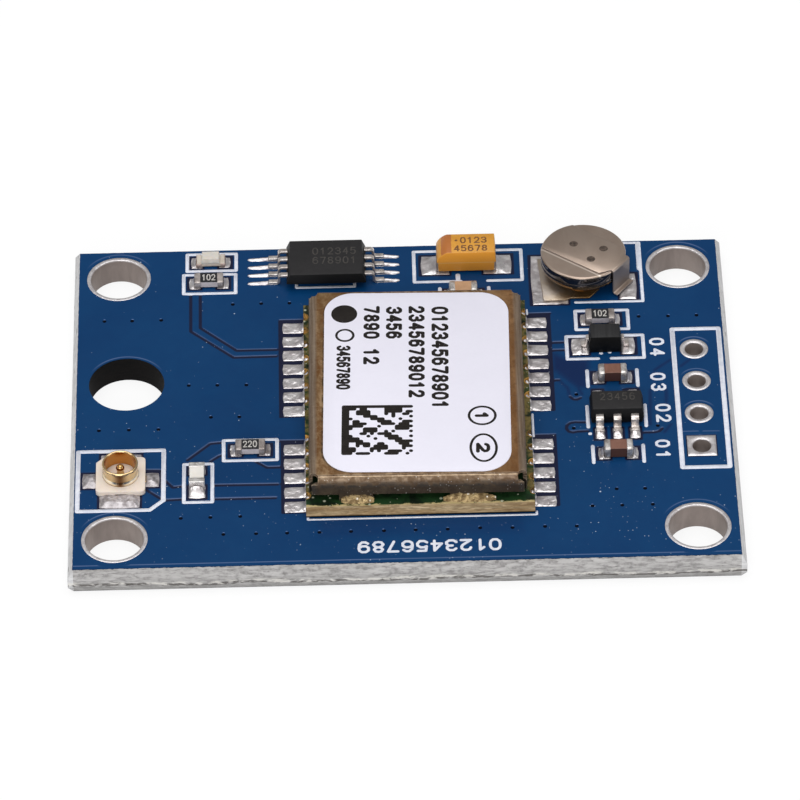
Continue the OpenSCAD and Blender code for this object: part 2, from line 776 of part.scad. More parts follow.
module antenna_socket_base() color("#DCCBB8")
    at_socket() difference() {
        linear_extrude(socket_base_h) difference() {
            round_rect(socket_base, socket_base, base_corner);
            translate([-socket_base / 2, socket_base / 2]) rotate(45)
                square(base_cut, center = true);
        }
        socket_ring();
        socket_contact();
    }

module antenna_socket_shell() color("#C8913A") at_socket() socket_ring();
module antenna_socket_pin() color("#D9A441") at_socket() socket_contact();

// Status light
module led_base() color("#D8D2C4")
    on_board(led_at) chip_core(led_l, led_w, led_base_t + cap_t);

module led_lens() color("#E8E6DE", 0.8)
    on_board(led_at) translate([0, 0, land_t + led_base_t]) intersection() {
        across(led_w - 2 * cap_t) polygon([[-led_lens_l / 2, 0], [led_lens_l / 2, 0],
            [led_lens_l / 2 - led_lens_lean, led_lens_h], [-led_lens_l / 2 + led_lens_lean, led_lens_h]]);
        along(led_lens_l) polygon([[-led_w / 2 + cap_t, 0], [led_w / 2 - cap_t, 0],
            [led_w / 2 - led_lens_lean - cap_t, led_lens_h], [-led_w / 2 + led_lens_lean + cap_t, led_lens_h]]);
    }

module led_terminals() color("#C9C4BC")
    on_board(led_at) difference() {
        for (side = [-1, 1])
            translate([side * (led_l - led_band) / 2, 0, 0]) block(led_band, led_w, led_base_t, land_t);
        chip_core(led_l, led_w, led_base_t + cap_t);
    }

// Chip resistors
module resistor_body(place) color("#D9D5CC")
    on_board(place) chip_core(resistor_l, resistor_w, resistor_t);
module resistor_coat(place) color("#1B1B1D")
    on_board(place) chip_coat(resistor_l, resistor_w, resistor_t);
module resistor_caps(place) color("#C4C0BC")
    on_board(place) chip_caps(resistor_l, resistor_w, resistor_t);

// Chip capacitors
module capacitor_body(place, tone) color(tone)
    on_board(place) chip_core(capacitor_l, capacitor_w, capacitor_t);
module capacitor_caps(place) color("#CFCBC6")
    on_board(place) chip_caps(capacitor_l, capacitor_w, capacitor_t);

// Antenna inductor, laid along Y
module antenna_inductor_body() color("#DDD6C6")
    on_board(inductor_spot, 90) chip_core(inductor_l, inductor_w, inductor_t);
module antenna_inductor_caps() color("#CFCBC6")
    on_board(inductor_spot, 90) chip_caps(inductor_l, inductor_w, inductor_t);

// Memory chip with four leads a side
module memory_chip_body() color("#262628")
    on_board(memory_at) moulded_body(memory_l, memory_w);
module memory_chip_leads() color("#C4C2C0")
    for (side = [0, 180], i = [-1.5 : 1.5])
        on_board(memory_at, side) translate([0, i * memory_pitch, 0])
            formed_lead(memory_l / 2, memory_span / 2, memory_lead_w);

// Tantalum capacitor with a bevelled positive end and folded terminals
module tantalum_section() {
    half = tantalum_l / 2;
    foot = half - tantalum_terminal_t;
    z0 = land_t + tantalum_terminal_t;
    zm = land_t + tantalum_h * tantalum_parting;
    z3 = land_t + tantalum_h;
    polygon([[-foot, z0], [foot, z0], [foot, zm], [half, zm], [half - package_lean / 2, z3],
        [-half + tantalum_bevel, z3], [-half + package_lean / 4, z3 - tantalum_bevel], [-half, zm], [-foot, zm]]);
}

module tantalum_capacitor_body() color("#C98B2E")
    on_board(tantalum_at) intersection() {
        across(tantalum_w) tantalum_section();
        along(tantalum_l) polygon(leaning_section(tantalum_w / 2, land_t,
            land_t + tantalum_h * tantalum_parting, land_t + tantalum_h * tantalum_parting,
            land_t + tantalum_h, package_lean / 3));
    }

module tantalum_capacitor_terminals() color("#B9B6B2")
    on_board(tantalum_at) for (side = [0, 180]) rotate([0, 0, side])
        translate([tantalum_l / 2, 0, land_t]) across(tantalum_terminal_w) {
            translate([-tantalum_terminal_t, 0])
                square([tantalum_terminal_t, tantalum_h * tantalum_parting]);
            translate([-tantalum_foot_l, 0]) square([tantalum_foot_l, tantalum_terminal_t]);
        }

// Backup cell
module at_cell(z) translate([cell_at.x, cell_at.y, z]) children();

module backup_cell_can() color("#9A8F86")
    at_cell(cell_can_z) rotate_extrude() {
        square([cell_d / 2 - cell_edge_r, cell_can_h]);
        translate([0, cell_edge_r]) square([cell_d / 2, cell_can_h - 2 * cell_edge_r]);
        for (z = [cell_edge_r, cell_can_h - cell_edge_r])
            translate([cell_d / 2 - cell_edge_r, z]) circle(cell_edge_r);
    }

module backup_cell_cap() color("#A8A19A")
    at_cell(cell_bottom) cylinder(d = cell_cap_d, h = cell_cap_h);

module backup_cell_gasket() color("#2E2A28")
    at_cell(cell_can_z - gasket_w) difference() {
        cylinder(d = cell_cap_d + 2 * gasket_w, h = gasket_w);
        translate([0, 0, -over]) cylinder(d = cell_cap_d, h = gasket_w + 2 * over);
    }

// Strip welded across the can, then folded down to the right pad
module backup_cell_top_tab() color("#A39890")
    at_cell(0) rotate([0, 0, cell_tab_turn]) {
        translate([0, 0, cell_top]) intersection() {
            cylinder(d = cell_d - cell_edge_r, h = cell_tab_t);
            translate([-cell_d / 2, -cell_tab_w / 2, 0]) cube([cell_d, cell_tab_w, cell_tab_t]);
        }
        across(cell_leg_w) polygon([
            [cell_d / 4, cell_top], [cell_fold - cell_tab_t, cell_top],
            [cell_fold - cell_tab_t, seat], [cell_fold + cell_foot_l, seat],
            [cell_fold + cell_foot_l, seat + cell_tab_t], [cell_fold, seat + cell_tab_t],
            [cell_fold, cell_top + cell_tab_t], [cell_d / 4, cell_top + cell_tab_t]]);
    }

// Plate under the cell that runs out to the left pad
bottom_tab_out = 2.3;
bottom_tab_in = 0.85;
bottom_tab_front = 2.35;
bottom_tab_back = 1.1;
bottom_tab_cut = [0.6, 0.9];
module backup_cell_bottom_tab() color("#8C7A62")
    at_cell(seat) linear_extrude(cell_tab_t) polygon([
        [-bottom_tab_out, -bottom_tab_front], [bottom_tab_in - bottom_tab_cut.x, -bottom_tab_front],
        [bottom_tab_in, bottom_tab_cut.y - bottom_tab_front], [bottom_tab_in, bottom_tab_back],
        [-bottom_tab_out, bottom_tab_back]]);

// Charge diode
module charge_diode_body() color("#232325")
    on_board(diode_spot) moulded_body(diode_l, diode_w);
module charge_diode_leads() color("#C4C2C0")
    for (side = [0, 180])
        on_board(diode_spot, side) formed_lead(diode_l / 2, diode_span / 2, diode_lead_w);

// Regulator with three leads in front and two behind
module regulator_body() color("#29292B")
    on_board(regulator_spot) moulded_body(regulator_l, regulator_w);
module regulator_leads() color("#C4C2C0") {
    for (i = [-1, 0, 1]) on_board(regulator_spot + [i * regulator_pitch, 0], -90) regulator_lead();
    for (i = [-1, 1]) on_board(regulator_spot + [i * regulator_pitch, 0], 90) regulator_lead();
}
module regulator_lead()
    formed_lead(regulator_w / 2, regulator_span / 2, regulator_lead_w);

circuit_board();
mounting_hole_plating();
header_hole_plating();
silkscreen();
component_solder();
receiver_solder();
receiver_carrier();
receiver_castellations();
shield_can();
shield_solder();
receiver_label();
positioning_chip();
main_crystal();
clock_crystal();
band_filter();
receiver_passives();
antenna_socket_base();
antenna_socket_shell();
antenna_socket_pin();
led_base();
led_lens();
led_terminals();
resistor_body(led_resistor_at);  // led_resistor_body
resistor_coat(led_resistor_at);  // led_resistor_coat
resistor_caps(led_resistor_at);  // led_resistor_caps
resistor_body(antenna_resistor_at);  // antenna_resistor_body
resistor_coat(antenna_resistor_at);  // antenna_resistor_coat
resistor_caps(antenna_resistor_at);  // antenna_resistor_caps
resistor_body(charge_resistor_spot);  // charge_resistor_body
resistor_coat(charge_resistor_spot);  // charge_resistor_coat
resistor_caps(charge_resistor_spot);  // charge_resistor_caps
capacitor_body(receiver_capacitor_at, "#B89872");  // receiver_capacitor_body
capacitor_caps(receiver_capacitor_at);  // receiver_capacitor_caps
capacitor_body(input_capacitor_spot, "#7A5140");  // input_capacitor_body
capacitor_caps(input_capacitor_spot);  // input_capacitor_caps
capacitor_body(output_capacitor_spot, "#6E4634");  // output_capacitor_body
capacitor_caps(output_capacitor_spot);  // output_capacitor_caps
antenna_inductor_body();
antenna_inductor_caps();
memory_chip_body();
memory_chip_leads();
tantalum_capacitor_body();
tantalum_capacitor_terminals();
backup_cell_can();
backup_cell_cap();
backup_cell_gasket();
backup_cell_top_tab();
backup_cell_bottom_tab();
charge_diode_body();
charge_diode_leads();
regulator_body();
regulator_leads();
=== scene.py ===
import math

import bmesh
import bpy
import numpy as np
from mathutils import Matrix, Vector, noise


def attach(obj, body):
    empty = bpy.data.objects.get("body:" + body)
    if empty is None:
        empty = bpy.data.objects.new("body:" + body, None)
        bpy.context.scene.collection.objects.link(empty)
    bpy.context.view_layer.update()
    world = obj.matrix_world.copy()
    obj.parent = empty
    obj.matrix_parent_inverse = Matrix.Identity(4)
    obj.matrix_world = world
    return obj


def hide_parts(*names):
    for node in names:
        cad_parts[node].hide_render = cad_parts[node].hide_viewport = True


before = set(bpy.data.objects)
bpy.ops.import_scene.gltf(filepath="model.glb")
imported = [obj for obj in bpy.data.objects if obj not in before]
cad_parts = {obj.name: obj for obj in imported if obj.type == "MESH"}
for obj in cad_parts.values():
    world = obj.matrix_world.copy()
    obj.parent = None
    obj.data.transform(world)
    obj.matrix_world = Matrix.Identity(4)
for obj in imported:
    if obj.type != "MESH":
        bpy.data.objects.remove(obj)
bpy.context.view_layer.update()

# All places below are in millimetres in the board's frame; mm turns them into metres
mm = 0.001
scene = bpy.context.scene
scene.view_settings.view_transform = "Standard"
boardTop = 1.6
maskHalf = (17.72, 12.42)

# Camera: the photograph's place, turn and lens
cameraSet = {
    "rows": ((0.99970339, 0.0232654, -0.00720147, -0.002515),
             (-0.02127031, 0.69003883, -0.72345973, -0.240199),
             (-0.01186229, 0.72339832, 0.69032902, 0.230802),
             (0, 0, 0, 1)),
    "lens": 274.87,
}
cameraData = bpy.data.cameras.new("board_camera")
cameraData.sensor_width = 36
cameraData.lens = cameraSet["lens"]
cameraData.clip_start = 0.01
cameraData.clip_end = 20
camera = bpy.data.objects.new("board_camera", cameraData)
camera.matrix_world = Matrix(cameraSet["rows"])
scene.collection.objects.link(camera)
scene.camera = camera
print("stage: camera")


# Node helpers: fill sets a node's values and joins its links, put places the node first
def fill(tree, node, values):
    for key, value in values.items():
        if isinstance(value, bpy.types.NodeSocket):
            tree.links.new(value, node.inputs[key])
        else:
            node.inputs[key].default_value = value


def put(tree, kind, values=None, **settings):
    node = tree.nodes.new(kind)
    for key, value in settings.items():
        setattr(node, key, value)
    fill(tree, node, values or {})
    return node


def calc(tree, what, a, b=0.0, c=0.0):
    return put(tree, "ShaderNodeMath", {0: a, 1: b, 2: c}, operation=what).outputs[0]


def times(tree, a, b):
    return calc(tree, "MULTIPLY", a, b)


def ramp(tree, value, slope, start):
    return calc(tree, "MULTIPLY_ADD", value, slope, start)


def apart(tree, a, b):
    return calc(tree, "ABSOLUTE", calc(tree, "SUBTRACT", a, b))


def spread(tree, value, low, high, toLow=0.0, toHigh=1.0):
    return put(tree, "ShaderNodeMapRange", {0: value, 1: low, 2: high, 3: toLow, 4: toHigh},
               interpolation_type="SMOOTHSTEP").outputs[0]


def rgb(code):
    parts = [int(code[i:i + 2], 16) / 255 for i in (1, 3, 5)]
    return tuple(c / 12.92 if c <= 0.04045 else ((c + 0.055) / 1.055) ** 2.4 for c in parts) + (1.0,)


# Colours are sockets or hex codes
def blendColour(tree, share, a, b):
    a, b = (rgb(tone) if isinstance(tone, str) else tone for tone in (a, b))
    return put(tree, "ShaderNodeMix", {0: share, 6: a, 7: b}, data_type="RGBA", blend_type="MIX").outputs[2]


def tint(tree, colour, mask, share, tone):
    return blendColour(tree, times(tree, mask, share), colour, tone)


def split(tree, vector):
    return tuple(put(tree, "ShaderNodeSeparateXYZ", {0: vector}).outputs)


def facingAxes(tree):
    return split(tree, put(tree, "ShaderNodeNewGeometry").outputs["Normal"])


def stretched(tree, where, scale):
    return put(tree, "ShaderNodeMapping", {0: where, 3: scale}).outputs[0]


def bumped(tree, height, strength, depth, normal=None):
    values = {"Strength": strength, "Distance": depth * mm, "Height": height}
    if normal is not None:
        values["Normal"] = normal
    return put(tree, "ShaderNodeBump", values).outputs[0]


def newGroup(name, inputs, outputs):
    group = bpy.data.node_groups.new(name, "ShaderNodeTree")
    for label, kind, value in inputs:
        socket = group.interface.new_socket(name=label, in_out="INPUT", socket_type=kind)
        if value is not None:
            socket.default_value = value
    for label, kind in outputs:
        group.interface.new_socket(name=label, in_out="OUTPUT", socket_type=kind)
    return group, group.nodes.new("NodeGroupInput"), group.nodes.new("NodeGroupOutput")


# Shared effects: cloudy patches, fine grain, scattered specks, and pale edges that are partly rubbed wear, partly
# painted highlight
mottle, gin, gout = newGroup("cloudy patches",
    [("Vector", "NodeSocketVector", None), ("Scale", "NodeSocketFloat", 900.0), ("Contrast", "NodeSocketFloat", 3.0)],
    [("Mask", "NodeSocketFloat")])
cloud = put(mottle, "ShaderNodeTexNoise", {"Vector": gin.outputs[0], "Scale": gin.outputs[1],
            "Detail": 7.0, "Roughness": 0.62, "Distortion": 0.4})
push = calc(mottle, "MULTIPLY_ADD", calc(mottle, "SUBTRACT", cloud.outputs[0], 0.5), gin.outputs[2], 0.5)
mottle.links.new(spread(mottle, push, 0.0, 1.0), gout.inputs[0])

grain, gin, gout = newGroup("fine grain",
    [("Vector", "NodeSocketVector", None), ("Scale", "NodeSocketFloat", 6000.0)],
    [("Height", "NodeSocketFloat"), ("Tone", "NodeSocketFloat")])
fine = put(grain, "ShaderNodeTexNoise", {"Vector": gin.outputs[0], "Scale": gin.outputs[1],
           "Detail": 4.0, "Roughness": 0.7})
broad = put(grain, "ShaderNodeTexNoise", {"Vector": gin.outputs[0],
            "Scale": calc(grain, "MULTIPLY", gin.outputs[1], 0.23), "Detail": 3.0})
grain.links.new(calc(grain, "ADD", fine.outputs[0], calc(grain, "MULTIPLY", broad.outputs[0], 0.8)), gout.inputs[0])
grain.links.new(calc(grain, "SUBTRACT", broad.outputs[0], 0.5), gout.inputs[1])

specks, gin, gout = newGroup("scattered specks",
    [("Vector", "NodeSocketVector", None), ("Scale", "NodeSocketFloat", 1500.0),
     ("Share", "NodeSocketFloat", 0.2), ("Size", "NodeSocketFloat", 0.1)],
    [("Mask", "NodeSocketFloat")])
cells = put(specks, "ShaderNodeTexVoronoi", {"Vector": gin.outputs[0], "Scale": gin.outputs[1], "Randomness": 1.0})
pick = put(specks, "ShaderNodeSeparateColor", {0: cells.outputs["Color"]})
chosen = calc(specks, "LESS_THAN", pick.outputs[0], gin.outputs[2])
radius = calc(specks, "MULTIPLY", gin.outputs[3], calc(specks, "ADD", pick.outputs[1], 0.25))
near = calc(specks, "SUBTRACT", 1.0, calc(specks, "DIVIDE", cells.outputs["Distance"], radius))
specks.links.new(calc(specks, "MULTIPLY", chosen, spread(specks, near, 0.0, 0.5)), gout.inputs[0])

# Pale edge mask from the bevel's turned normal: partly rubbed wear, partly a painted highlight on rounded edges
wearAndSheen, gin, gout = newGroup("rubbed edges",
    [("Vector", "NodeSocketVector", None), ("Width", "NodeSocketFloat", 0.00003), ("Scale", "NodeSocketFloat", 3000.0)],
    [("Mask", "NodeSocketFloat"), ("Normal", "NodeSocketVector")])
rounded = put(wearAndSheen, "ShaderNodeBevel", {"Radius": gin.outputs[1]}, samples=6)
flat = put(wearAndSheen, "ShaderNodeNewGeometry")
turn = put(wearAndSheen, "ShaderNodeVectorMath", {0: rounded.outputs[0], 1: flat.outputs["Normal"]}, operation="DOT_PRODUCT")
patchy = put(wearAndSheen, "ShaderNodeTexNoise", {"Vector": gin.outputs[0], "Scale": gin.outputs[2], "Detail": 4.0})
edgeness = calc(wearAndSheen, "MULTIPLY", calc(wearAndSheen, "SUBTRACT", 1.0, turn.outputs["Value"]), 5.0)
wearAndSheen.links.new(calc(wearAndSheen, "MULTIPLY", spread(wearAndSheen, edgeness, 0.0, 1.0), spread(wearAndSheen, patchy.outputs[0], 0.35, 0.6)),
                 gout.inputs[0])
wearAndSheen.links.new(rounded.outputs[0], gout.inputs[1])


def useGroup(tree, group, *values):
    return tuple(put(tree, "ShaderNodeGroup", dict(enumerate(values)), node_tree=group).outputs)


def patches(tree, where, scale, contrast):
    return useGroup(tree, mottle, where, scale, contrast)[0]


def dotted(tree, where, scale, share, size):
    return useGroup(tree, specks, where, scale, share, size)[0]


finishes = {}


def startFinish(name, stretch=(1, 1, 1)):
    material = finishes[name] = bpy.data.materials.new(name)
    material.use_nodes = True
    tree = material.node_tree
    where = put(tree, "ShaderNodeTexCoord").outputs["Object"]
    if stretch != (1, 1, 1):
        where = stretched(tree, where, stretch)
    return tree, tree.nodes["Principled BSDF"], where


# One finish: two tones in cloudy patches, grain in the roughness and bump, round edges, pale edges as rubbed wear and
# painted highlight, and sides darkened as painted shade
def makeFinish(name, look):
    tree, shader, where = startFinish(name, look.get("stretch", (1, 1, 1)))
    patch = patches(tree, where, look.get("patchScale", 900.0), look.get("contrast", 3.0))
    colour = blendColour(tree, patch, look["base"], look["patch"])
    edge = useGroup(tree, wearAndSheen, where, look["edge"] * mm, 3500.0)
    # Pale edges: partly rubbed wear, partly a painted highlight
    if "wearAndSheenTone" in look:
        colour = tint(tree, colour, edge[0], 0.6, look["wearAndSheenTone"])
    if "dots" in look:
        scale, share, size, tone = look["dots"]
        colour = blendColour(tree, dotted(tree, where, scale, share, size), colour, tone)
    # Painted shade: faces turned away from up take the darker side tone
    if "side" in look:
        colour = blendColour(tree, spread(tree, facingAxes(tree)[2], 0.8, 0.35), colour, look["side"])
    bits = useGroup(tree, grain, where, look.get("grainScale", 6000.0))
    swing = times(tree, bits[1], look.get("swing", 0.25))
    fill(tree, shader, {"Base Color": colour, "Roughness": calc(tree, "ADD", swing, look["rough"]),
                        "Normal": bumped(tree, bits[0], look.get("bump", 0.15), look.get("depth", 0.01), edge[1]),
                        "Metallic": look.get("metal", 0.0), "Specular IOR Level": look.get("gloss", 0.5)})
    if "coat" in look:
        fill(tree, shader, {"Coat Weight": look["coat"], "Coat Roughness": 0.15})
    if "light" in look:
        fill(tree, shader, {"Subsurface Weight": look["light"], "Subsurface Radius": (0.0004, 0.0003, 0.0002),
                            "Subsurface Scale": 1.0})


inkLook = dict(grainScale=9000.0, bump=0.1, depth=0.004, edge=0.004)
ceramicLook = dict(swing=0.2, grainScale=9000.0, bump=0.2, depth=0.01)
# Side tones are painted shade on faces turned away from up; pale edge tones are partly rubbed wear, partly painted
# highlight
looks = {
    "solder": dict(base="#E9E5E5", patch="#BFB8B9", patchScale=1500.0, contrast=2.8, rough=0.34, swing=0.35,
                   metal=0.82, grainScale=7000.0, bump=0.3, depth=0.014, edge=0.01,
                   dots=(1300.0, 0.28, 0.17, "#6F6866")),
    "tinnedLead": dict(base="#E6DFDA", patch="#B4AAA4", patchScale=2400.0, contrast=2.6, rough=0.32, swing=0.3,
                       metal=0.8, grainScale=7000.0, bump=0.25, depth=0.012, edge=0.04, wearAndSheenTone="#F6F2EE"),
    # chipCap: its bright edge tone is mostly a painted highlight on the rounded corners and edges
    "chipCap": dict(base="#EFECE9", patch="#98918C", patchScale=1700.0, contrast=2.8, rough=0.3, swing=0.4,
                    metal=0.7, grainScale=7000.0, bump=0.5, depth=0.02, edge=0.1, wearAndSheenTone="#FFFDFA"),
    "resistorCap": dict(base="#C6BDB8", patch="#857B77", patchScale=1700.0, contrast=2.8, rough=0.36, swing=0.3,
                        metal=0.6, grainScale=7000.0, bump=0.4, depth=0.016, edge=0.06, wearAndSheenTone="#EFE9E4"),
    "goldPlate": dict(base="#DFC08A", patch="#B98A4A", patchScale=1800.0, contrast=2.4, rough=0.15, swing=0.12,
                      metal=1.0, grainScale=6000.0, bump=0.04, depth=0.004, edge=0.02, wearAndSheenTone="#FBEBCB"),
    "dullSolder": dict(base="#CBC6C8", patch="#8E8788", patchScale=2600.0, contrast=3.6, rough=0.5, swing=0.4,
                       metal=0.75, grainScale=8000.0, bump=0.7, depth=0.02, edge=0.01,
                       dots=(2600.0, 0.3, 0.25, "#5A5454")),
    "halfHoleGold": dict(base="#E2AC58", patch="#6A542C", patchScale=1500.0, contrast=4.0, rough=0.34, swing=0.4,
                         metal=0.8, grainScale=7000.0, bump=0.4, depth=0.015, edge=0.02),
    "blackMould": dict(base="#282728", patch="#242324", patchScale=1500.0, contrast=2.0, rough=0.55, swing=0.3,
                       grainScale=11000.0, bump=0.4, depth=0.012, edge=0.05, wearAndSheenTone="#3A393A", gloss=0.2,
                       side="#121213", dots=(420.0, 0.1, 0.05, "#8C8A88")),
    "diodeMould": dict(base="#303031", patch="#212122", patchScale=900.0, contrast=2.6, rough=0.5, swing=0.3,
                       stretch=(3.2, 0.12, 0.6), grainScale=5200.0, bump=0.5, depth=0.014, edge=0.05,
                       wearAndSheenTone="#414143", gloss=0.2, side="#080808"),
    "creamMould": dict(base="#EBDED2", patch="#E0D0C2", patchScale=900.0, contrast=2.0, rough=0.48, swing=0.2,
                       grainScale=7000.0, bump=0.15, depth=0.01, edge=0.06, light=0.25),
    "whiteCeramic": dict(ceramicLook, base="#CFC9CC", patch="#B8B1B4", patchScale=2400.0, contrast=2.4, rough=0.55,
                         edge=0.03),
    "inductorCeramic": dict(base="#EDE9E2", patch="#DFDAD2", patchScale=1600.0, contrast=2.0, rough=0.45,
                            swing=0.2, grainScale=8000.0, bump=0.15, depth=0.01, edge=0.04, light=0.15),
    "tanCeramic": dict(ceramicLook, base="#C79D78", patch="#B48A66", patchScale=1800.0, contrast=2.2, rough=0.45,
                       edge=0.05, wearAndSheenTone="#D9B897", side="#8A684E"),
    "brownCeramic": dict(ceramicLook, base="#80594A", patch="#6E4838", patchScale=1800.0, contrast=2.2, rough=0.42,
                         edge=0.05, wearAndSheenTone="#A87C6C", side="#4A3027"),
    "blackCoat": dict(base="#232325", patch="#2C2C2E", patchScale=2600.0, contrast=2.4, rough=0.34, swing=0.25,
                      grainScale=8000.0, bump=0.2, depth=0.008, edge=0.02, wearAndSheenTone="#38383B", gloss=0.25),
    # cellTab: the darker side tone is painted shade; the pale edge tone is partly a painted highlight on the bends
    "cellTab": dict(base="#BCAA9C", patch="#AE9B8D", patchScale=700.0, contrast=1.8, rough=0.4, swing=0.12,
                    metal=0.9, side="#958C88", stretch=(1.0, 0.35, 1.0), grainScale=5000.0, bump=0.1, depth=0.008,
                    edge=0.03, wearAndSheenTone="#D6CBC0"),
    "gasketRubber": dict(base="#2E2A28", patch="#211E1C", rough=0.6, grainScale=7000.0, edge=0.03),
    "crystalLid": dict(base="#C9C6BE", patch="#B4B0A6", patchScale=900.0, contrast=2.0, rough=0.3, metal=0.9,
                       edge=0.05),
    "ledBase": dict(base="#CFC5B8", patch="#BFB3A4", patchScale=2000.0, contrast=2.0, rough=0.5, edge=0.03,
                    light=0.2),
    "ledLens": dict(base="#DAD5CE", patch="#CCC5BA", patchScale=2000.0, contrast=2.0, rough=0.28, swing=0.15,
                    grainScale=7000.0, bump=0.12, depth=0.01, edge=0.1, light=0.4, coat=0.4),
    "ledEnd": dict(base="#D8C4BA", patch="#B79E92", patchScale=2400.0, contrast=3.0, rough=0.34, swing=0.3,
                   metal=0.7, grainScale=8000.0, bump=0.3, depth=0.012, edge=0.04, wearAndSheenTone="#F0E6DE"),
    "printInk": dict(base="#E2E4EC", patch="#CDD1DF", patchScale=2400.0, contrast=2.6, rough=0.6, swing=0.2,
                     grainScale=12000.0, bump=0.3, depth=0.008, edge=0.02, gloss=0.3),
    "labelInk": dict(inkLook, base="#1C1816", patch="#24201D", patchScale=2600.0, contrast=2.0, rough=0.6,
                     gloss=0.15),
    "markWhite": dict(inkLook, base="#CFCBC6", patch="#B2AEA9", patchScale=5000.0, contrast=2.6, rough=0.55),
    "markBrown": dict(inkLook, base="#6B4420", patch="#7F5428", patchScale=5000.0, contrast=2.6, rough=0.5),
    "viaShade": dict(base="#02040C", patch="#050916", patchScale=6000.0, contrast=2.0, rough=0.7,
                     grainScale=9000.0, bump=0.3, depth=0.02, edge=0.01, gloss=0.05),
    "weldPit": dict(base="#6B5C52", patch="#3E342E", patchScale=7000.0, contrast=4.0, rough=0.5, metal=0.5,
                    swing=0.4, grainScale=12000.0, bump=0.8, depth=0.02, edge=0.01,
                    dots=(4200.0, 0.3, 0.3, "#D8CEC4")),
    "footSolder": dict(base="#AC9468", patch="#66502E", patchScale=4200.0, contrast=4.5, rough=0.36, swing=0.5,
                       metal=0.5, grainScale=9000.0, bump=0.8, depth=0.03, edge=0.01,
                       dots=(4200.0, 0.3, 0.3, "#E6DCCB")),
    "faintMark": dict(inkLook, base="#4A4744", patch="#3C3A38", patchScale=5000.0, contrast=2.6, rough=0.6,
                      gloss=0.15),
    # The next finish is the pale blue of the painted highlight behind each via
    "viaRim": dict(inkLook, base="#5E7AA8", patch="#3C5C8E", patchScale=5000.0, contrast=3.0, rough=0.5, gloss=0.2),
    "resinPart": dict(base="#A8886A", patch="#96775A", patchScale=1800.0, contrast=2.2, rough=0.45, edge=0.03),
}
for name, look in looks.items():
    makeFinish(name, look)


# Solder mask: deep blue over copper, darker where the copper is left out, a painted highlight on the far step of each
# gap, dust
def makeMaskFinish():
    tree, shader, where = startFinish("solderMask")
    pour, rise, dim, gap = (put(tree, "ShaderNodeAttribute", attribute_name=label).outputs["Fac"]
                            for label in ("pour", "rise", "dim", "gap"))
    copper = spread(tree, gap, -0.03, 0.03)
    cloudy = patches(tree, where, 160.0, 1.6)
    fineCloud = patches(tree, where, 1500.0, 1.2)
    blue = blendColour(tree, cloudy, "#053562", "#083C69")
    blue = tint(tree, blue, fineCloud, 0.3, "#032E5B")
    blue = tint(tree, blue, dim, 0.75, "#0D1C47")
    colour = blendColour(tree, copper, "#171B34", blue)
    # Painted highlight on the far step of each gap, where the copper edge slopes towards the back
    step = times(tree, spread(tree, pour, -0.05, -0.01), spread(tree, pour, 0.065, 0.02))
    stepHighlight = times(tree, step, spread(tree, rise, 0.4, 0.95))
    stepHighlight = times(tree, stepHighlight, ramp(tree, cloudy, -0.5, 1.0))
    colour = tint(tree, colour, stepHighlight, 0.42, "#7E90B8")
    axes = split(tree, where)
    front = spread(tree, axes[1], 4.0 * mm, -9.0 * mm, 0.05, 0.45)
    dust = dotted(tree, where, 4600.0, front, 0.15)
    lint = dotted(tree, where, 2300.0, 0.05, 0.13)
    clumps = patches(tree, where, 260.0, 5.0)
    gather = patches(tree, where, 330.0, 4.0)
    loose = times(tree, dust, ramp(tree, gather, 0.8, 0.2))
    bright = calc(tree, "MAXIMUM", loose, times(tree, lint, clumps))
    colour = tint(tree, colour, bright, 0.7, "#D5E0EE")
    bits = useGroup(tree, grain, where, 2600.0)
    fill(tree, shader, {"Base Color": colour, "Roughness": ramp(tree, bits[1], 0.12, 0.32),
                        "Normal": bumped(tree, bits[0], 0.06, 0.02), "Specular IOR Level": 0.16})


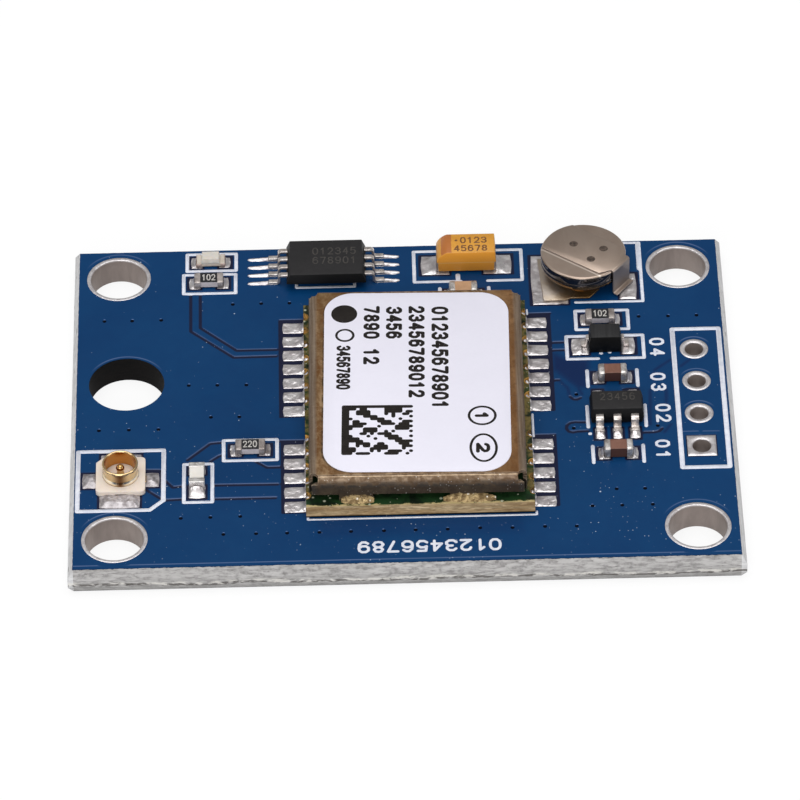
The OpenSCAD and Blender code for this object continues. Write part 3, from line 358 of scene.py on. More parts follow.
# Board core: blue faces, grey torn glass fibre at the snapped edges, left and right edges painted lighter as painted
# light, drilled wall painted near-black as painted shade
def makeBoardFinish():
    tree, shader, where = startFinish("boardCore")
    axes = split(tree, where)
    x = calc(tree, "ABSOLUTE", axes[0])
    y = calc(tree, "ABSOLUTE", axes[1])
    ragged = patches(tree, where, 3000.0, 3.0)
    out = calc(tree, "MAXIMUM", calc(tree, "SUBTRACT", x, maskHalf[0] * mm),
               calc(tree, "SUBTRACT", y, maskHalf[1] * mm))
    rim = calc(tree, "GREATER_THAN", ramp(tree, ragged, 0.02 * mm, out), 0.015 * mm)
    level = calc(tree, "DIVIDE", axes[2], boardTop * mm)
    face = calc(tree, "MAXIMUM", calc(tree, "GREATER_THAN", level, 0.995), calc(tree, "LESS_THAN", level, 0.005))
    fibre = stretched(tree, where, (0.3, 0.3, 1.5))
    weave = patches(tree, fibre, 5200.0, 5.0)
    chalk = patches(tree, where, 3600.0, 4.0)
    broad = patches(tree, fibre, 1200.0, 4.0)
    pale = blendColour(tree, weave, "#B9B7B6", "#7F7D7C")
    pale = tint(tree, pale, chalk, 0.5, "#BBB9B8")
    # Painted light: the left and right edges are painted lighter
    pale = tint(tree, pale, calc(tree, "GREATER_THAN", x, (maskHalf[0] - 0.02) * mm), 0.6, "#E4E5E7")
    pale = tint(tree, pale, broad, 0.35, "#A09E9D")
    # Torn marks in a row where the web broke, each with a pale chip beside it
    ripped = stretched(tree, where, (0.4, 0.4, 0.9))
    tear = patches(tree, ripped, 4600.0, 8.0)
    wander = ramp(tree, broad, 0.1, level)
    row = apart(tree, wander, 0.44)
    torn = times(tree, spread(tree, row, 0.06, 0.025), tear)
    chip = apart(tree, wander, 0.5)
    chip = times(tree, spread(tree, chip, 0.09, 0.03), calc(tree, "SUBTRACT", 1.0, tear))
    pale = tint(tree, pale, chip, 0.5, "#EDEAE2")
    pale = tint(tree, pale, spread(tree, wander, 0.4, 0.34), 0.3, "#8F8E8D")
    pale = tint(tree, pale, torn, 0.8, "#504C48")
    nick = dotted(tree, fibre, 2600.0, 0.3, 0.24)
    pale = tint(tree, pale, nick, 0.65, "#6E6C69")
    blue = blendColour(tree, patches(tree, where, 160.0, 1.6), "#053562", "#083C69")
    # Painted shade: the drilled wall is painted near-black
    wallShade = blendColour(tree, weave, "#0E0B0A", "#060505")
    colour = blendColour(tree, face, wallShade, blue)
    colour = blendColour(tree, rim, colour, pale)
    bits = useGroup(tree, grain, fibre, 4200.0)
    height = times(tree, calc(tree, "ADD", bits[0], times(tree, torn, -2.0)), rim)
    edge = useGroup(tree, wearAndSheen, where, 0.05 * mm, 3000.0)
    fill(tree, shader, {"Base Color": colour, "Roughness": ramp(tree, face, -0.4, 0.8),
                        "Normal": bumped(tree, height, 0.6, 0.03, edge[1]), "Specular IOR Level": 0.15})


# Carrier: speckled near-black green top, tan fibrous cut edge with a painted shadow of the gap below it along its foot
def makeCarrierFinish():
    tree, shader, where = startFinish("carrierBoard")
    axes = split(tree, where)
    top = calc(tree, "GREATER_THAN", axes[2], 2.447 * mm)
    fibre = stretched(tree, where, (0.16, 0.16, 1.5))
    weave = patches(tree, fibre, 3600.0, 3.6)
    streak = patches(tree, fibre, 1500.0, 5.0)
    thread = stretched(tree, where, (0.3, 0.3, 1.4))
    fleck = patches(tree, thread, 6200.0, 6.0)
    cut = blendColour(tree, weave, "#DFC8A0", "#B29870")
    cut = tint(tree, cut, streak, 0.5, "#9A7242")
    cut = tint(tree, cut, fleck, 0.55, "#705A3C")
    # Painted shadow: the foot of the cut edge turns near-black for the gap below it
    cut = blendColour(tree, spread(tree, axes[2], 1.77 * mm, 1.72 * mm), cut, "#0B0A08")
    leaf = patches(tree, where, 1100.0, 3.6)
    green = blendColour(tree, leaf, "#1B3A1B", "#0A180B")
    flank = apart(tree, axes[0], 0.8 * mm)
    resin = patches(tree, where, 1900.0, 4.0)
    tarnish = times(tree, spread(tree, flank, 5.6 * mm, 5.8 * mm), resin)
    tarnish = times(tree, tarnish, spread(tree, axes[1], -8.3 * mm, -7.7 * mm))
    green = blendColour(tree, tarnish, green, "#7A6A3C")
    lip = ramp(tree, fleck, 0.12 * mm, axes[1])
    green = blendColour(tree, spread(tree, lip, -8.76 * mm, -8.86 * mm), green, "#B7A575")
    flux = dotted(tree, where, 3400.0, 0.5, 0.3)
    green = tint(tree, green, flux, 0.75, "#C3C6AE")
    bits = useGroup(tree, grain, fibre, 5000.0)
    edge = useGroup(tree, wearAndSheen, where, 0.04 * mm, 3000.0)
    fill(tree, shader, {"Base Color": blendColour(tree, top, cut, green),
                        "Roughness": ramp(tree, bits[1], 0.3, 0.55),
                        "Normal": bumped(tree, bits[0], 0.5, 0.03, edge[1]), "Specular IOR Level": 0.2})


# Place of a point in millimetres in a frame that is moved and slightly turned on the board
def turnedFrame(tree, axes, at, turn):
    lean = math.sin(math.radians(turn))
    dx = calc(tree, "SUBTRACT", calc(tree, "DIVIDE", axes[0], mm), at[0])
    dy = calc(tree, "SUBTRACT", calc(tree, "DIVIDE", axes[1], mm), at[1])
    return ramp(tree, dy, lean, dx), ramp(tree, dx, -lean, dy)


cellSet = {"at": (10.25, 9.88), "r": 2.36, "low": 2.12, "top": 3.22, "shoulder": 0.12, "crimp": 0.46, "tilt": 2.5,
           "turn": -37.3, "pads": (10.25, 9.85), "pits": [(9.74, 10.44), (11.38, 9.97), (10.64, 9.10)]}
canSet = {"at": (0.75, -1.18), "turn": -0.6, "half": (5.8, 7.4), "fold": 0.3}
labelSet = {"at": (0.735, -1.13), "turn": -1.3, "size": (10.05, 14.0), "low": 4.05, "high": 4.1, "r": 1.6, "ink": 4.108}
socketSet = {"at": (-15.23, -5.65), "r": 0.95, "wall": 0.1, "top": 2.85, "foot": 1.95}
platingSet = {"mounts": [(-15.52, -10.22), (15.52, -10.22), (-15.52, 10.22), (15.52, 10.22)], "r": 1.55, "rim": 1.77,
              "headers": [3.51, 0.97, -1.57], "squareY": -4.11, "headerX": 16.06, "headerR": 0.5, "headerRim": 0.78}


# Shield can: tarnished nickel silver, rusty inside its folds, grey on the side folds, a painted dark reflection low on
# the walls
def makeCanFinish():
    tree, shader, where = startFinish("tarnishedCan")
    axes = split(tree, where)
    u, v = turnedFrame(tree, axes, canSet["at"], canSet["turn"])
    z = calc(tree, "DIVIDE", axes[2], mm)
    long = stretched(tree, where, (1.0, 0.35, 1.0))
    cloudy = patches(tree, long, 1300.0, 4.0)
    spots = patches(tree, where, 3200.0, 4.6)
    base = blendColour(tree, cloudy, "#A88B67", "#7C603F")
    right = spread(tree, u, 3.0, 5.4)
    rust = blendColour(tree, spots, "#6E4826", "#96704A")
    base = tint(tree, base, right, 0.85, rust)
    rustSpot = times(tree, spots, ramp(tree, cloudy, 0.5, 0.1))
    base = blendColour(tree, rustSpot, base, "#6A4828")
    wide = patches(tree, where, 330.0, 5.0)
    patch = times(tree, wide, ramp(tree, spots, 0.6, 0.25))
    base = tint(tree, base, patch, 0.85, "#6C431B")
    flank = calc(tree, "SUBTRACT", canSet["half"][0], calc(tree, "ABSOLUTE", u))
    drawn = stretched(tree, where, (3.0, 0.08, 1.0))
    scored = patches(tree, drawn, 3000.0, 3.0)
    grey = blendColour(tree, scored, "#8F8274", "#6E5F50")
    base = tint(tree, base, spread(tree, flank, 0.5, 0.3), 0.8, grey)
    # Painted dark reflection: the walls darken towards their foot
    ragged = ramp(tree, spots, 0.22, z)
    wall = spread(tree, ragged, 3.86, 3.5)
    # Two thin painted highlight lines along the front fold, grey below them
    bend = calc(tree, "DIVIDE", calc(tree, "SUBTRACT", canSet["fold"] - canSet["half"][1], v), canSet["fold"])
    onFold = times(tree, spread(tree, bend, -0.35, 0.1), calc(tree, "GREATER_THAN", z, 3.4))
    ashen = blendColour(tree, spots, "#8A7A6A", "#6C5A49")
    base = tint(tree, base, onFold, 0.7, ashen)
    broken = patches(tree, where, 1500.0, 3.0)
    highlightOne = spread(tree, apart(tree, bend, -0.12), 0.1, 0.03)
    highlightTwo = spread(tree, apart(tree, bend, 0.34), 0.075, 0.025)
    foldHighlights = calc(tree, "MAXIMUM", times(tree, highlightOne, times(tree, broken, 0.7)), highlightTwo)
    foldHighlights = times(tree, foldHighlights, calc(tree, "GREATER_THAN", z, 3.8))
    base = tint(tree, base, foldHighlights, 0.75, "#DDC3A2")
    base = tint(tree, base, wall, 0.8, "#393632")
    # Painted shadow along the label's edge, broken up in patches
    p, q = turnedFrame(tree, axes, labelSet["at"], labelSet["turn"])
    r = labelSet["r"]
    cornerX = calc(tree, "MAXIMUM", calc(tree, "SUBTRACT", calc(tree, "ABSOLUTE", p), labelSet["size"][0] / 2 - r), 0.0)
    cornerY = calc(tree, "MAXIMUM", calc(tree, "SUBTRACT", calc(tree, "ABSOLUTE", q), labelSet["size"][1] / 2 - r), 0.0)
    far = calc(tree, "SQRT", ramp(tree, cornerX, cornerX, times(tree, cornerY, cornerY)))
    contact = spread(tree, far, r + 0.07, r + 0.01)
    shadowBreakup = patches(tree, where, 2000.0, 4.0)
    base = blendColour(tree, times(tree, contact, ramp(tree, shadowBreakup, 0.7, 0.15)), base, "#2A1F16")
    edge = useGroup(tree, wearAndSheen, where, 0.05 * mm, 2600.0)
    base = tint(tree, base, edge[0], 0.45, "#D9C4A4")
    grit = dotted(tree, where, 3400.0, 0.16, 0.22)
    base = tint(tree, base, grit, 0.5, "#3A2A18")
    pale = dotted(tree, where, 2900.0, 0.1, 0.2)
    base = tint(tree, base, pale, 0.4, "#D8CDBE")
    # Painted glints: pale specks on the front fold
    foldGlints = dotted(tree, where, 7000.0, 0.3, 0.26)
    foldGlints = times(tree, foldGlints, spread(tree, bend, -0.4, 0.3))
    base = tint(tree, base, foldGlints, 0.7, "#D6CFC6")
    bits = useGroup(tree, grain, where, 6000.0)
    fill(tree, shader, {"Base Color": base, "Roughness": ramp(tree, spots, 0.2, 0.45),
                        "Normal": bumped(tree, bits[0], 0.4, 0.014, edge[1]), "Metallic": 0.7})


# Backup cell: satin top, mirror side painted dark as a painted dark reflection, brown where the crimp turns under as a
# painted reflection of the plate
def makeCellFinish():
    tree, shader, where = startFinish("cellSteel")
    axes = split(tree, where)
    lean = math.tan(math.radians(cellSet["tilt"]))
    level = ramp(tree, calc(tree, "SUBTRACT", axes[1], cellSet["at"][1] * mm), lean, axes[2])
    satin = spread(tree, level, (cellSet["top"] - 0.1) * mm, (cellSet["top"] - 0.04) * mm)
    under = spread(tree, level, 2.62 * mm, 2.46 * mm)
    cloudy = patches(tree, where, 700.0, 1.8)
    topTone = blendColour(tree, cloudy, "#BCAA9C", "#AE9B8D")
    # Painted reflections: the side painted dark grey, and brown where the crimp turns under
    colour = blendColour(tree, satin, "#5A5655", topTone)
    colour = blendColour(tree, under, colour, "#7C5E36")
    # Painted reflection: a bright line on the can beside the strip's front edge
    across = math.radians(cellSet["turn"])
    side = ramp(tree, calc(tree, "SUBTRACT", axes[0], cellSet["at"][0] * mm), -math.sin(across),
                times(tree, calc(tree, "SUBTRACT", axes[1], cellSet["at"][1] * mm), math.cos(across)))
    stripEdgeReflection = calc(tree, "ABSOLUTE", calc(tree, "ADD", side, 1.2 * mm))
    stripEdgeReflection = times(tree, spread(tree, stripEdgeReflection, 0.07 * mm, 0.03 * mm), satin)
    colour = tint(tree, colour, stripEdgeReflection, 0.8, "#F2E6DA")
    bits = useGroup(tree, grain, where, 5000.0)
    rough = ramp(tree, satin, 0.3, ramp(tree, bits[1], 0.06, 0.1))
    fill(tree, shader, {"Base Color": colour, "Roughness": ramp(tree, under, 0.12, rough),
                        "Normal": bumped(tree, bits[0], 0.08, 0.008), "Metallic": 0.95})


# Plate under the cell: pale on its pad, brown gold under the cell, bright at its cut edge as rubbed wear and a painted
# highlight
def makePlateFinish():
    tree, shader, where = startFinish("cellPlate")
    axes = split(tree, where)
    cloudy = patches(tree, where, 900.0, 3.0)
    wave = ramp(tree, cloudy, 0.5 * mm, axes[0])
    gold = spread(tree, wave, 8.9 * mm, 10.2 * mm)
    colour = blendColour(tree, gold, "#BDB2A8", "#86633A")
    colour = tint(tree, colour, cloudy, 0.4, "#B29A74")
    edge = useGroup(tree, wearAndSheen, where, 0.05 * mm, 3000.0)
    # Pale cut edge: partly rubbed wear, partly a painted highlight
    colour = tint(tree, colour, edge[0], 0.5, "#F2E6D0")
    bits = useGroup(tree, grain, where, 5000.0)
    rough = ramp(tree, gold, -0.14, ramp(tree, bits[1], 0.2, 0.38))
    fill(tree, shader, {"Base Color": colour, "Roughness": rough, "Normal": bumped(tree, bits[0], 0.2, 0.012, edge[1]),
                        "Metallic": 0.85})


# Label paper: faint cloud and fibre
def makeLabelFinish():
    tree, shader, where = startFinish("labelPaper")
    cloudy = patches(tree, where, 260.0, 1.6)
    fibre = patches(tree, where, 5200.0, 2.0)
    paper = blendColour(tree, cloudy, "#E7E5F1", "#E2E0EC")
    paper = tint(tree, paper, fibre, 0.25, "#DEDCE8")
    soil = dotted(tree, where, 420.0, 0.07, 0.05)
    paper = tint(tree, paper, soil, 0.5, "#8D8A92")
    bits = useGroup(tree, grain, where, 5000.0)
    fill(tree, shader, {"Base Color": paper, "Roughness": ramp(tree, bits[1], 0.15, 0.5),
                        "Normal": bumped(tree, bits[0], 0.08, 0.006), "Specular IOR Level": 0.3})


# Plated hole: pale rim, dull grey-brown barrel with streaks
def makePlatingFinish():
    tree, shader, where = startFinish("holePlating")
    axes = split(tree, where)
    barrel = spread(tree, axes[2], 1.6 * mm, 1.5 * mm)
    upright = stretched(tree, where, (1.0, 1.0, 0.25))
    streak = patches(tree, upright, 900.0, 2.2)
    spots = patches(tree, where, 2600.0, 2.6)
    rimTone = blendColour(tree, spots, "#E6E2E3", "#C6C0C1")
    wallTone = blendColour(tree, streak, "#A0948E", "#857A75")
    bits = useGroup(tree, grain, where, 5000.0)
    fill(tree, shader, {"Base Color": blendColour(tree, barrel, rimTone, wallTone),
                        "Roughness": ramp(tree, barrel, 0.14, 0.36),
                        "Metallic": ramp(tree, barrel, -0.25, 0.8),
                        "Normal": bumped(tree, bits[0], 0.3, 0.012)})


# Tantalum case: ochre resin, front faces painted brighter as painted light, a brown band on the top beside the bevel
# and a pale parting line
def makeTantalumFinish():
    tree, shader, where = startFinish("ochreResin")
    axes = split(tree, where)
    cloudy = patches(tree, where, 1300.0, 2.0)
    base = blendColour(tree, cloudy, "#D99B38", "#C98B2C")
    wave = patches(tree, where, 2500.0, 2.0)
    left = ramp(tree, wave, 0.06 * mm, axes[0])
    facing = facingAxes(tree)
    # Painted light: faces turned to the front are painted brighter orange
    base = blendColour(tree, spread(tree, facing[1], -0.5, -0.9), base, "#E89C34")
    band = times(tree, calc(tree, "GREATER_THAN", left, 2.42 * mm), calc(tree, "LESS_THAN", left, 3.0 * mm))
    band = times(tree, band, calc(tree, "GREATER_THAN", facing[2], 0.45))
    base = tint(tree, base, band, 0.85, "#A9602F")
    parting = apart(tree, axes[2], 2.39 * mm)
    base = tint(tree, base, spread(tree, parting, 0.05 * mm, 0.01 * mm), 0.5, "#EBC379")
    edge = useGroup(tree, wearAndSheen, where, 0.09 * mm, 2500.0)
    base = tint(tree, base, edge[0], 0.5, "#EBBE6E")
    bits = useGroup(tree, grain, where, 6500.0)
    fill(tree, shader, {"Base Color": base, "Roughness": ramp(tree, bits[1], 0.2, 0.45),
                        "Normal": bumped(tree, bits[0], 0.3, 0.012, edge[1])})


for make in (makeMaskFinish, makeBoardFinish, makeCarrierFinish, makeCanFinish, makeLabelFinish, makePlatingFinish,
             makeTantalumFinish, makeCellFinish, makePlateFinish):
    make()
print("stage: finishes", len(finishes))


# Piece helpers
def place(x, y, z):
    return Vector((x * mm, y * mm, z * mm))


def addPiece(name, bm, finish, replaced=(), sharp=40):
    mesh = bpy.data.meshes.new(name)
    bm.to_mesh(mesh)
    bm.free()
    mesh.materials.append(finishes[finish])
    mesh.shade_smooth()
    mesh.set_sharp_from_angle(angle=math.radians(sharp))
    piece = bpy.data.objects.new(name, mesh)
    scene.collection.objects.link(piece)
    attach(piece, "root")
    if replaced:
        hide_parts(*replaced)
    return piece


def joinInto(bm, part):
    mesh = bpy.data.meshes.new("part")
    part.to_mesh(mesh)
    part.free()
    bm.from_mesh(mesh)
    bpy.data.meshes.remove(mesh)


def settle(part, spot, turn, z=0):
    bmesh.ops.rotate(part, cent=(0, 0, 0), matrix=Matrix.Rotation(math.radians(turn), 3, "Z"), verts=part.verts)
    bmesh.ops.translate(part, vec=place(*spot, z), verts=part.verts)


def setDown(bm, part, spot, turn, z=0):
    settle(part, spot, turn, z)
    joinInto(bm, part)


def soften(bm, edges, soft, steps, **more):
    bmesh.ops.bevel(bm, geom=edges, offset=soft * mm, offset_type="OFFSET", affect="EDGES", segments=steps, profile=0.5,
                    material=-1, **more)


def block(w, d, h):
    bm = bmesh.new()
    bmesh.ops.create_cube(bm, size=1)
    bmesh.ops.scale(bm, vec=place(w, d, h), verts=bm.verts)
    return bm


def arc(cx, cz, r, start, end, steps=6):
    angles = [math.radians(start + (end - start) * i / steps) for i in range(steps + 1)]
    return [(cx + r * math.cos(angle), cz + r * math.sin(angle)) for angle in angles]


# Section of radii and heights spun once about an upright axis
def spun(profile, x, y, steps=96, closed=False):
    bm = bmesh.new()
    verts = [bm.verts.new(place(x + r, y, z)) for r, z in profile]
    pairs = list(zip(verts, verts[1:])) + ([(verts[-1], verts[0])] if closed else [])
    edges = [bm.edges.new(pair) for pair in pairs]
    bmesh.ops.spin(bm, geom=verts + edges, cent=place(x, y, 0), axis=(0, 0, 1), angle=2 * math.pi,
                   steps=steps, use_merge=True, use_duplicate=False)
    bmesh.ops.remove_doubles(bm, verts=bm.verts, dist=0.0005 * mm)
    bmesh.ops.recalc_face_normals(bm, faces=bm.faces)
    return bm


# Round-ended raised stroke from a to b
def stroke(bm, a, b, width, low, high, soft=0.02, sides=12):
    part = bmesh.new()
    for x, y in (a, b):
        for r, z in ((width / 2, low), (width / 2 - soft, high)):
            bmesh.ops.create_circle(part, segments=sides, radius=r * mm, matrix=Matrix.Translation(place(x, y, z)))
    hull = bmesh.ops.convex_hull(part, input=part.verts)
    spare = {e for e in hull["geom_interior"] + hull["geom_unused"] if isinstance(e, bmesh.types.BMVert)}
    bmesh.ops.delete(part, geom=list(spare), context="VERTS")
    bmesh.ops.remove_doubles(part, verts=part.verts, dist=0.0005 * mm)
    bmesh.ops.recalc_face_normals(part, faces=part.faces)
    joinInto(bm, part)


strokeCount, strokeLift, liftSteps = 0, 0.00012, 25


# Each stroke sits a hair above the one before, so that crossings stay clean
def strokes(bm, points, width, low, high, soft=0.02):
    global strokeCount
    if len(points) == 1:
        points = points * 2
    for a, b in zip(points, points[1:]):
        strokeCount += 1
        stroke(bm, a, b, width, low, high + strokeLift * (strokeCount % liftSteps), soft)


# Moulded body: outlines at several heights joined by sloping walls, soft at every edge
def mouldedBody(spot, size, levels, leans, soft=0.035):
    bm = bmesh.new()
    rings = []
    for z, (leanX, leanY) in zip(levels, leans):
        a, b = size[0] / 2 - leanX, size[1] / 2 - leanY
        rings.append([bm.verts.new(place(spot[0] + i * a, spot[1] + j * b, z))
                      for i, j in ((-1, -1), (1, -1), (1, 1), (-1, 1))])
    for low, high in zip(rings, rings[1:]):
        for i in range(4):
            bm.faces.new((low[i], low[(i + 1) % 4], high[(i + 1) % 4], high[i]))
    bm.faces.new(rings[0][::-1])
    bm.faces.new(rings[-1])
    soften(bm, bm.edges[:], soft, 3)
    return bm


# Outline in its own plane pulled out to a width, soft at its edges; flat outlines lie down, the others stand
def pulled(outline, low, high, flat, soft):
    part = bmesh.new()
    face = part.faces.new([part.verts.new(place(a, b, low) if flat else place(a, low, b)) for a, b in outline])
    grown = bmesh.ops.extrude_face_region(part, geom=[face])["geom"]
    rise = place(0, 0, high - low) if flat else place(0, high - low, 0)
    bmesh.ops.translate(part, vec=rise, verts=[g for g in grown if isinstance(g, bmesh.types.BMVert)])
    bmesh.ops.recalc_face_normals(part, faces=part.faces)
    hard = [e for e in part.edges if len(e.link_faces) == 2 and e.calc_face_angle() > 0.6]
    soften(part, hard, soft, 2, clamp_overlap=True)
    return part


# Bent strip of even thickness along a line of places and heights
def bentStrip(line, thick, low, high, soft=0.02):
    fine = line[:1]
    for (x0, z0), (x1, z1) in zip(line, line[1:]):
        run = math.hypot(x1 - x0, z1 - z0)
        if run > 0.12:
            fine += [(x0 + (x1 - x0) * t, z0 + (z1 - z0) * t) for t in (0.03 / run, 1 - 0.03 / run)]
        fine.append((x1, z1))
    line, upper, lower = fine, [], []
    for i, (x, z) in enumerate(line):
        (x0, z0), (x1, z1) = line[max(0, i - 1)], line[min(len(line) - 1, i + 1)]
        run = math.hypot(x1 - x0, z1 - z0)
        nx, nz = -(z1 - z0) / run * thick / 2, (x1 - x0) / run * thick / 2
        upper.append((x + nx, z + nz))
        lower.append((x - nx, z - nz))
    return pulled(upper + lower[::-1], low, high, False, soft)


# Digits as strokes in a unit box
glyphs = {
    "0": [[(.3, 0), (.08, .16), (0, .36), (0, .64), (.08, .84), (.3, 1), (.7, 1), (.92, .84), (1, .64), (1, .36),
           (.92, .16), (.7, 0), (.3, 0)]],
    "1": [[(.16, .76), (.55, 1), (.55, 0)]],
    "2": [[(.02, .76), (.12, .92), (.32, 1), (.7, 1), (.92, .86), (.96, .66), (.82, .48), (0, 0), (1, 0)]],
    "3": [[(.04, .84), (.3, 1), (.7, 1), (.94, .84), (.94, .66), (.74, .53), (.4, .53)],
          [(.74, .53), (1, .36), (1, .18), (.72, 0), (.28, 0), (0, .18)]],
    "4": [[(.74, 0), (.74, 1), (0, .3), (1, .3)]],
    "5": [[(.94, 1), (.14, 1), (.06, .54), (.32, .64), (.68, .64), (.96, .46), (.98, .24), (.74, 0), (.28, 0),
           (.02, .14)]],
    "6": [[(.92, .86), (.68, 1), (.34, 1), (.06, .78), (0, .4), (.06, .14), (.32, 0), (.7, 0), (.98, .18), (.98, .44),
           (.72, .6), (.3, .6), (.02, .42)]],
    "7": [[(0, 1), (1, 1), (.4, 0)]],
    "8": [[(.5, .54), (.22, .6), (.06, .76), (.22, .96), (.5, 1), (.78, .96), (.94, .76), (.78, .6), (.5, .54),
           (.18, .46), (0, .26), (.2, .04), (.5, 0), (.8, .04), (1, .26), (.82, .46), (.5, .54)]],
    "9": [[(.08, .14), (.32, 0), (.66, 0), (.94, .22), (1, .6), (.94, .86), (.68, 1), (.3, 1), (.02, .82), (.02, .56),
           (.28, .4), (.7, .4), (.98, .58)]],
}


# Line of characters; along is the reading direction, up the direction of their tops
def writeLine(bm, text, start, along, up, height, width, step, line, low, high, soft=0.01):
    for i, mark in enumerate(text):
        for path in glyphs.get(mark, []):
            points = [(start[0] + along[0] * (i * step + u * width) + up[0] * v * height,
                       start[1] + along[1] * (i * step + u * width) + up[1] * v * height) for u, v in path]
            strokes(bm, points, line, low, high, soft)


# Chip parts and leaded parts: centre, length, width, height and turn, for their pads and solder
chipParts = {
    "ledResistor": dict(at=(-10.52, 9.7), l=1.6, w=0.82, t=0.44, turn=0),
    "antennaResistor": dict(at=(-8.27, -3.66), l=1.6, w=0.82, t=0.44, turn=0),
    "chargeResistor": dict(at=(11.02, 6.04), l=1.6, w=0.82, t=0.44, turn=0),
    "receiverCapacitor": dict(at=(3.55, 8.3), l=1.56, w=0.82, t=0.7, turn=0),
    "inputCapacitor": dict(at=(11.49, 1.38), l=1.56, w=0.82, t=0.7, turn=0),
    "outputCapacitor": dict(at=(11.54, -4.55), l=1.56, w=0.82, t=0.7, turn=0),
    "antennaInductor": dict(at=(-11.14, -5.88), l=1.52, w=0.84, t=0.58, turn=90, reach=0.62),
    "statusLight": dict(at=(-10.42, 11.4), l=1.6, w=0.8, t=0.3, turn=0),
}
memoryLeads = [(-4, 10.57 + i * 0.65) for i in (-1.5, -0.5, 0.5, 1.5)]
regulatorLeads = {-90: [(11.58 + x, -1.5) for x in (-0.95, 0, 0.95)], 90: [(11.58 + x, -1.5) for x in (-0.95, 0.95)]}
joints, socketJoints, landJoints = [], [], []    # place, turn, inner, wall, outer, width, rise, options
for part in chipParts.values():
    for side in (0, 180):
        reach = part.get("reach", 0.3) if side else 0.3
        half, crumple = part["l"] / 2, 0.015 if part["turn"] else 0.035
        joints.append((part["at"], part["turn"] + side, half - 0.33, half, half + reach, part["w"] + 0.04,
                       0.66 * part["t"], dict(climb=2.3, crumple=crumple, cell=0.045)))
for side in (0, 180):
    joints.append(((3.78, 10.76), side, 0.95, 1.65, 2.52, 1.52, 0.36, dict(climb=2.6, crumple=0.02)))
    joints.append(((11.2, 3.9), side, 0.9, 1.3, 1.85 if side else 1.64, 1.3, 0.1, dict(climb=2.5, crumple=0.03)))
    for spot in memoryLeads:
        joints.append((spot, side, 2.7, 3.2, 4.38 if side else 4.08, 0.27, 0.1,
                       dict(climb=1.4, crumple=0.012, round=0.3, cell=0.035, dome=0.06, skirt=0.04, framed=False)))
for turn, reach, width in ((-90, 1.92, 0.52), (90, 1.9, 0.5)):
    for spot in regulatorLeads[turn]:
        joints.append((spot, turn, 1.1, 1.45, reach, width, 0.13, dict(climb=1.2, crumple=0.04, cell=0.045)))
for shift, size, turn in (((1.62, -0.12), (0.9, 1.06), 0), ((-1.6, -0.12), (0.95, 1.1), 180),
                          ((-0.05, -1.66), (1.16, 2.16), -90), ((0, 1.66), (0.46, 2.15), 90)):
    spot = (socketSet["at"][0] + shift[0], socketSet["at"][1] + shift[1])
    socketJoints.append((spot, turn, -size[0] / 2, -size[0] / 2 + 0.05, size[0] / 2, size[1], 0.0,
                         dict(crumple=0.03, high=0.17, skirt=0.42, cell=0.045)))
x, y = cellSet["pads"]
joints.append(((x - 1.91, y - 0.5), 180, -1.0, -1.0, 1.0, 3.96, 0.0, dict(crumple=0.02)))
joints.append(((x + 2.43, y - 1.15), 0, -0.48, -0.48, 0.48, 2.08, 0.0, dict(crumple=0.025, high=0.04, skirt=0.1)))

for y in (5.9, 4.8, 3.7, 2.6, 1.5, 0.4, -0.7, -3.7, -4.8, -5.9, -7.0, -8.1):
    for side, x in ((0, 6.9), (180, -5.3)):
        landJoints.append(((x, y), side, -0.3, 0.0, 1.18, 0.8, 0.42,
                           dict(climb=9.0, crumple=0.02, narrow=0.3, cell=0.045, skirt=0.06, high=0.017)))

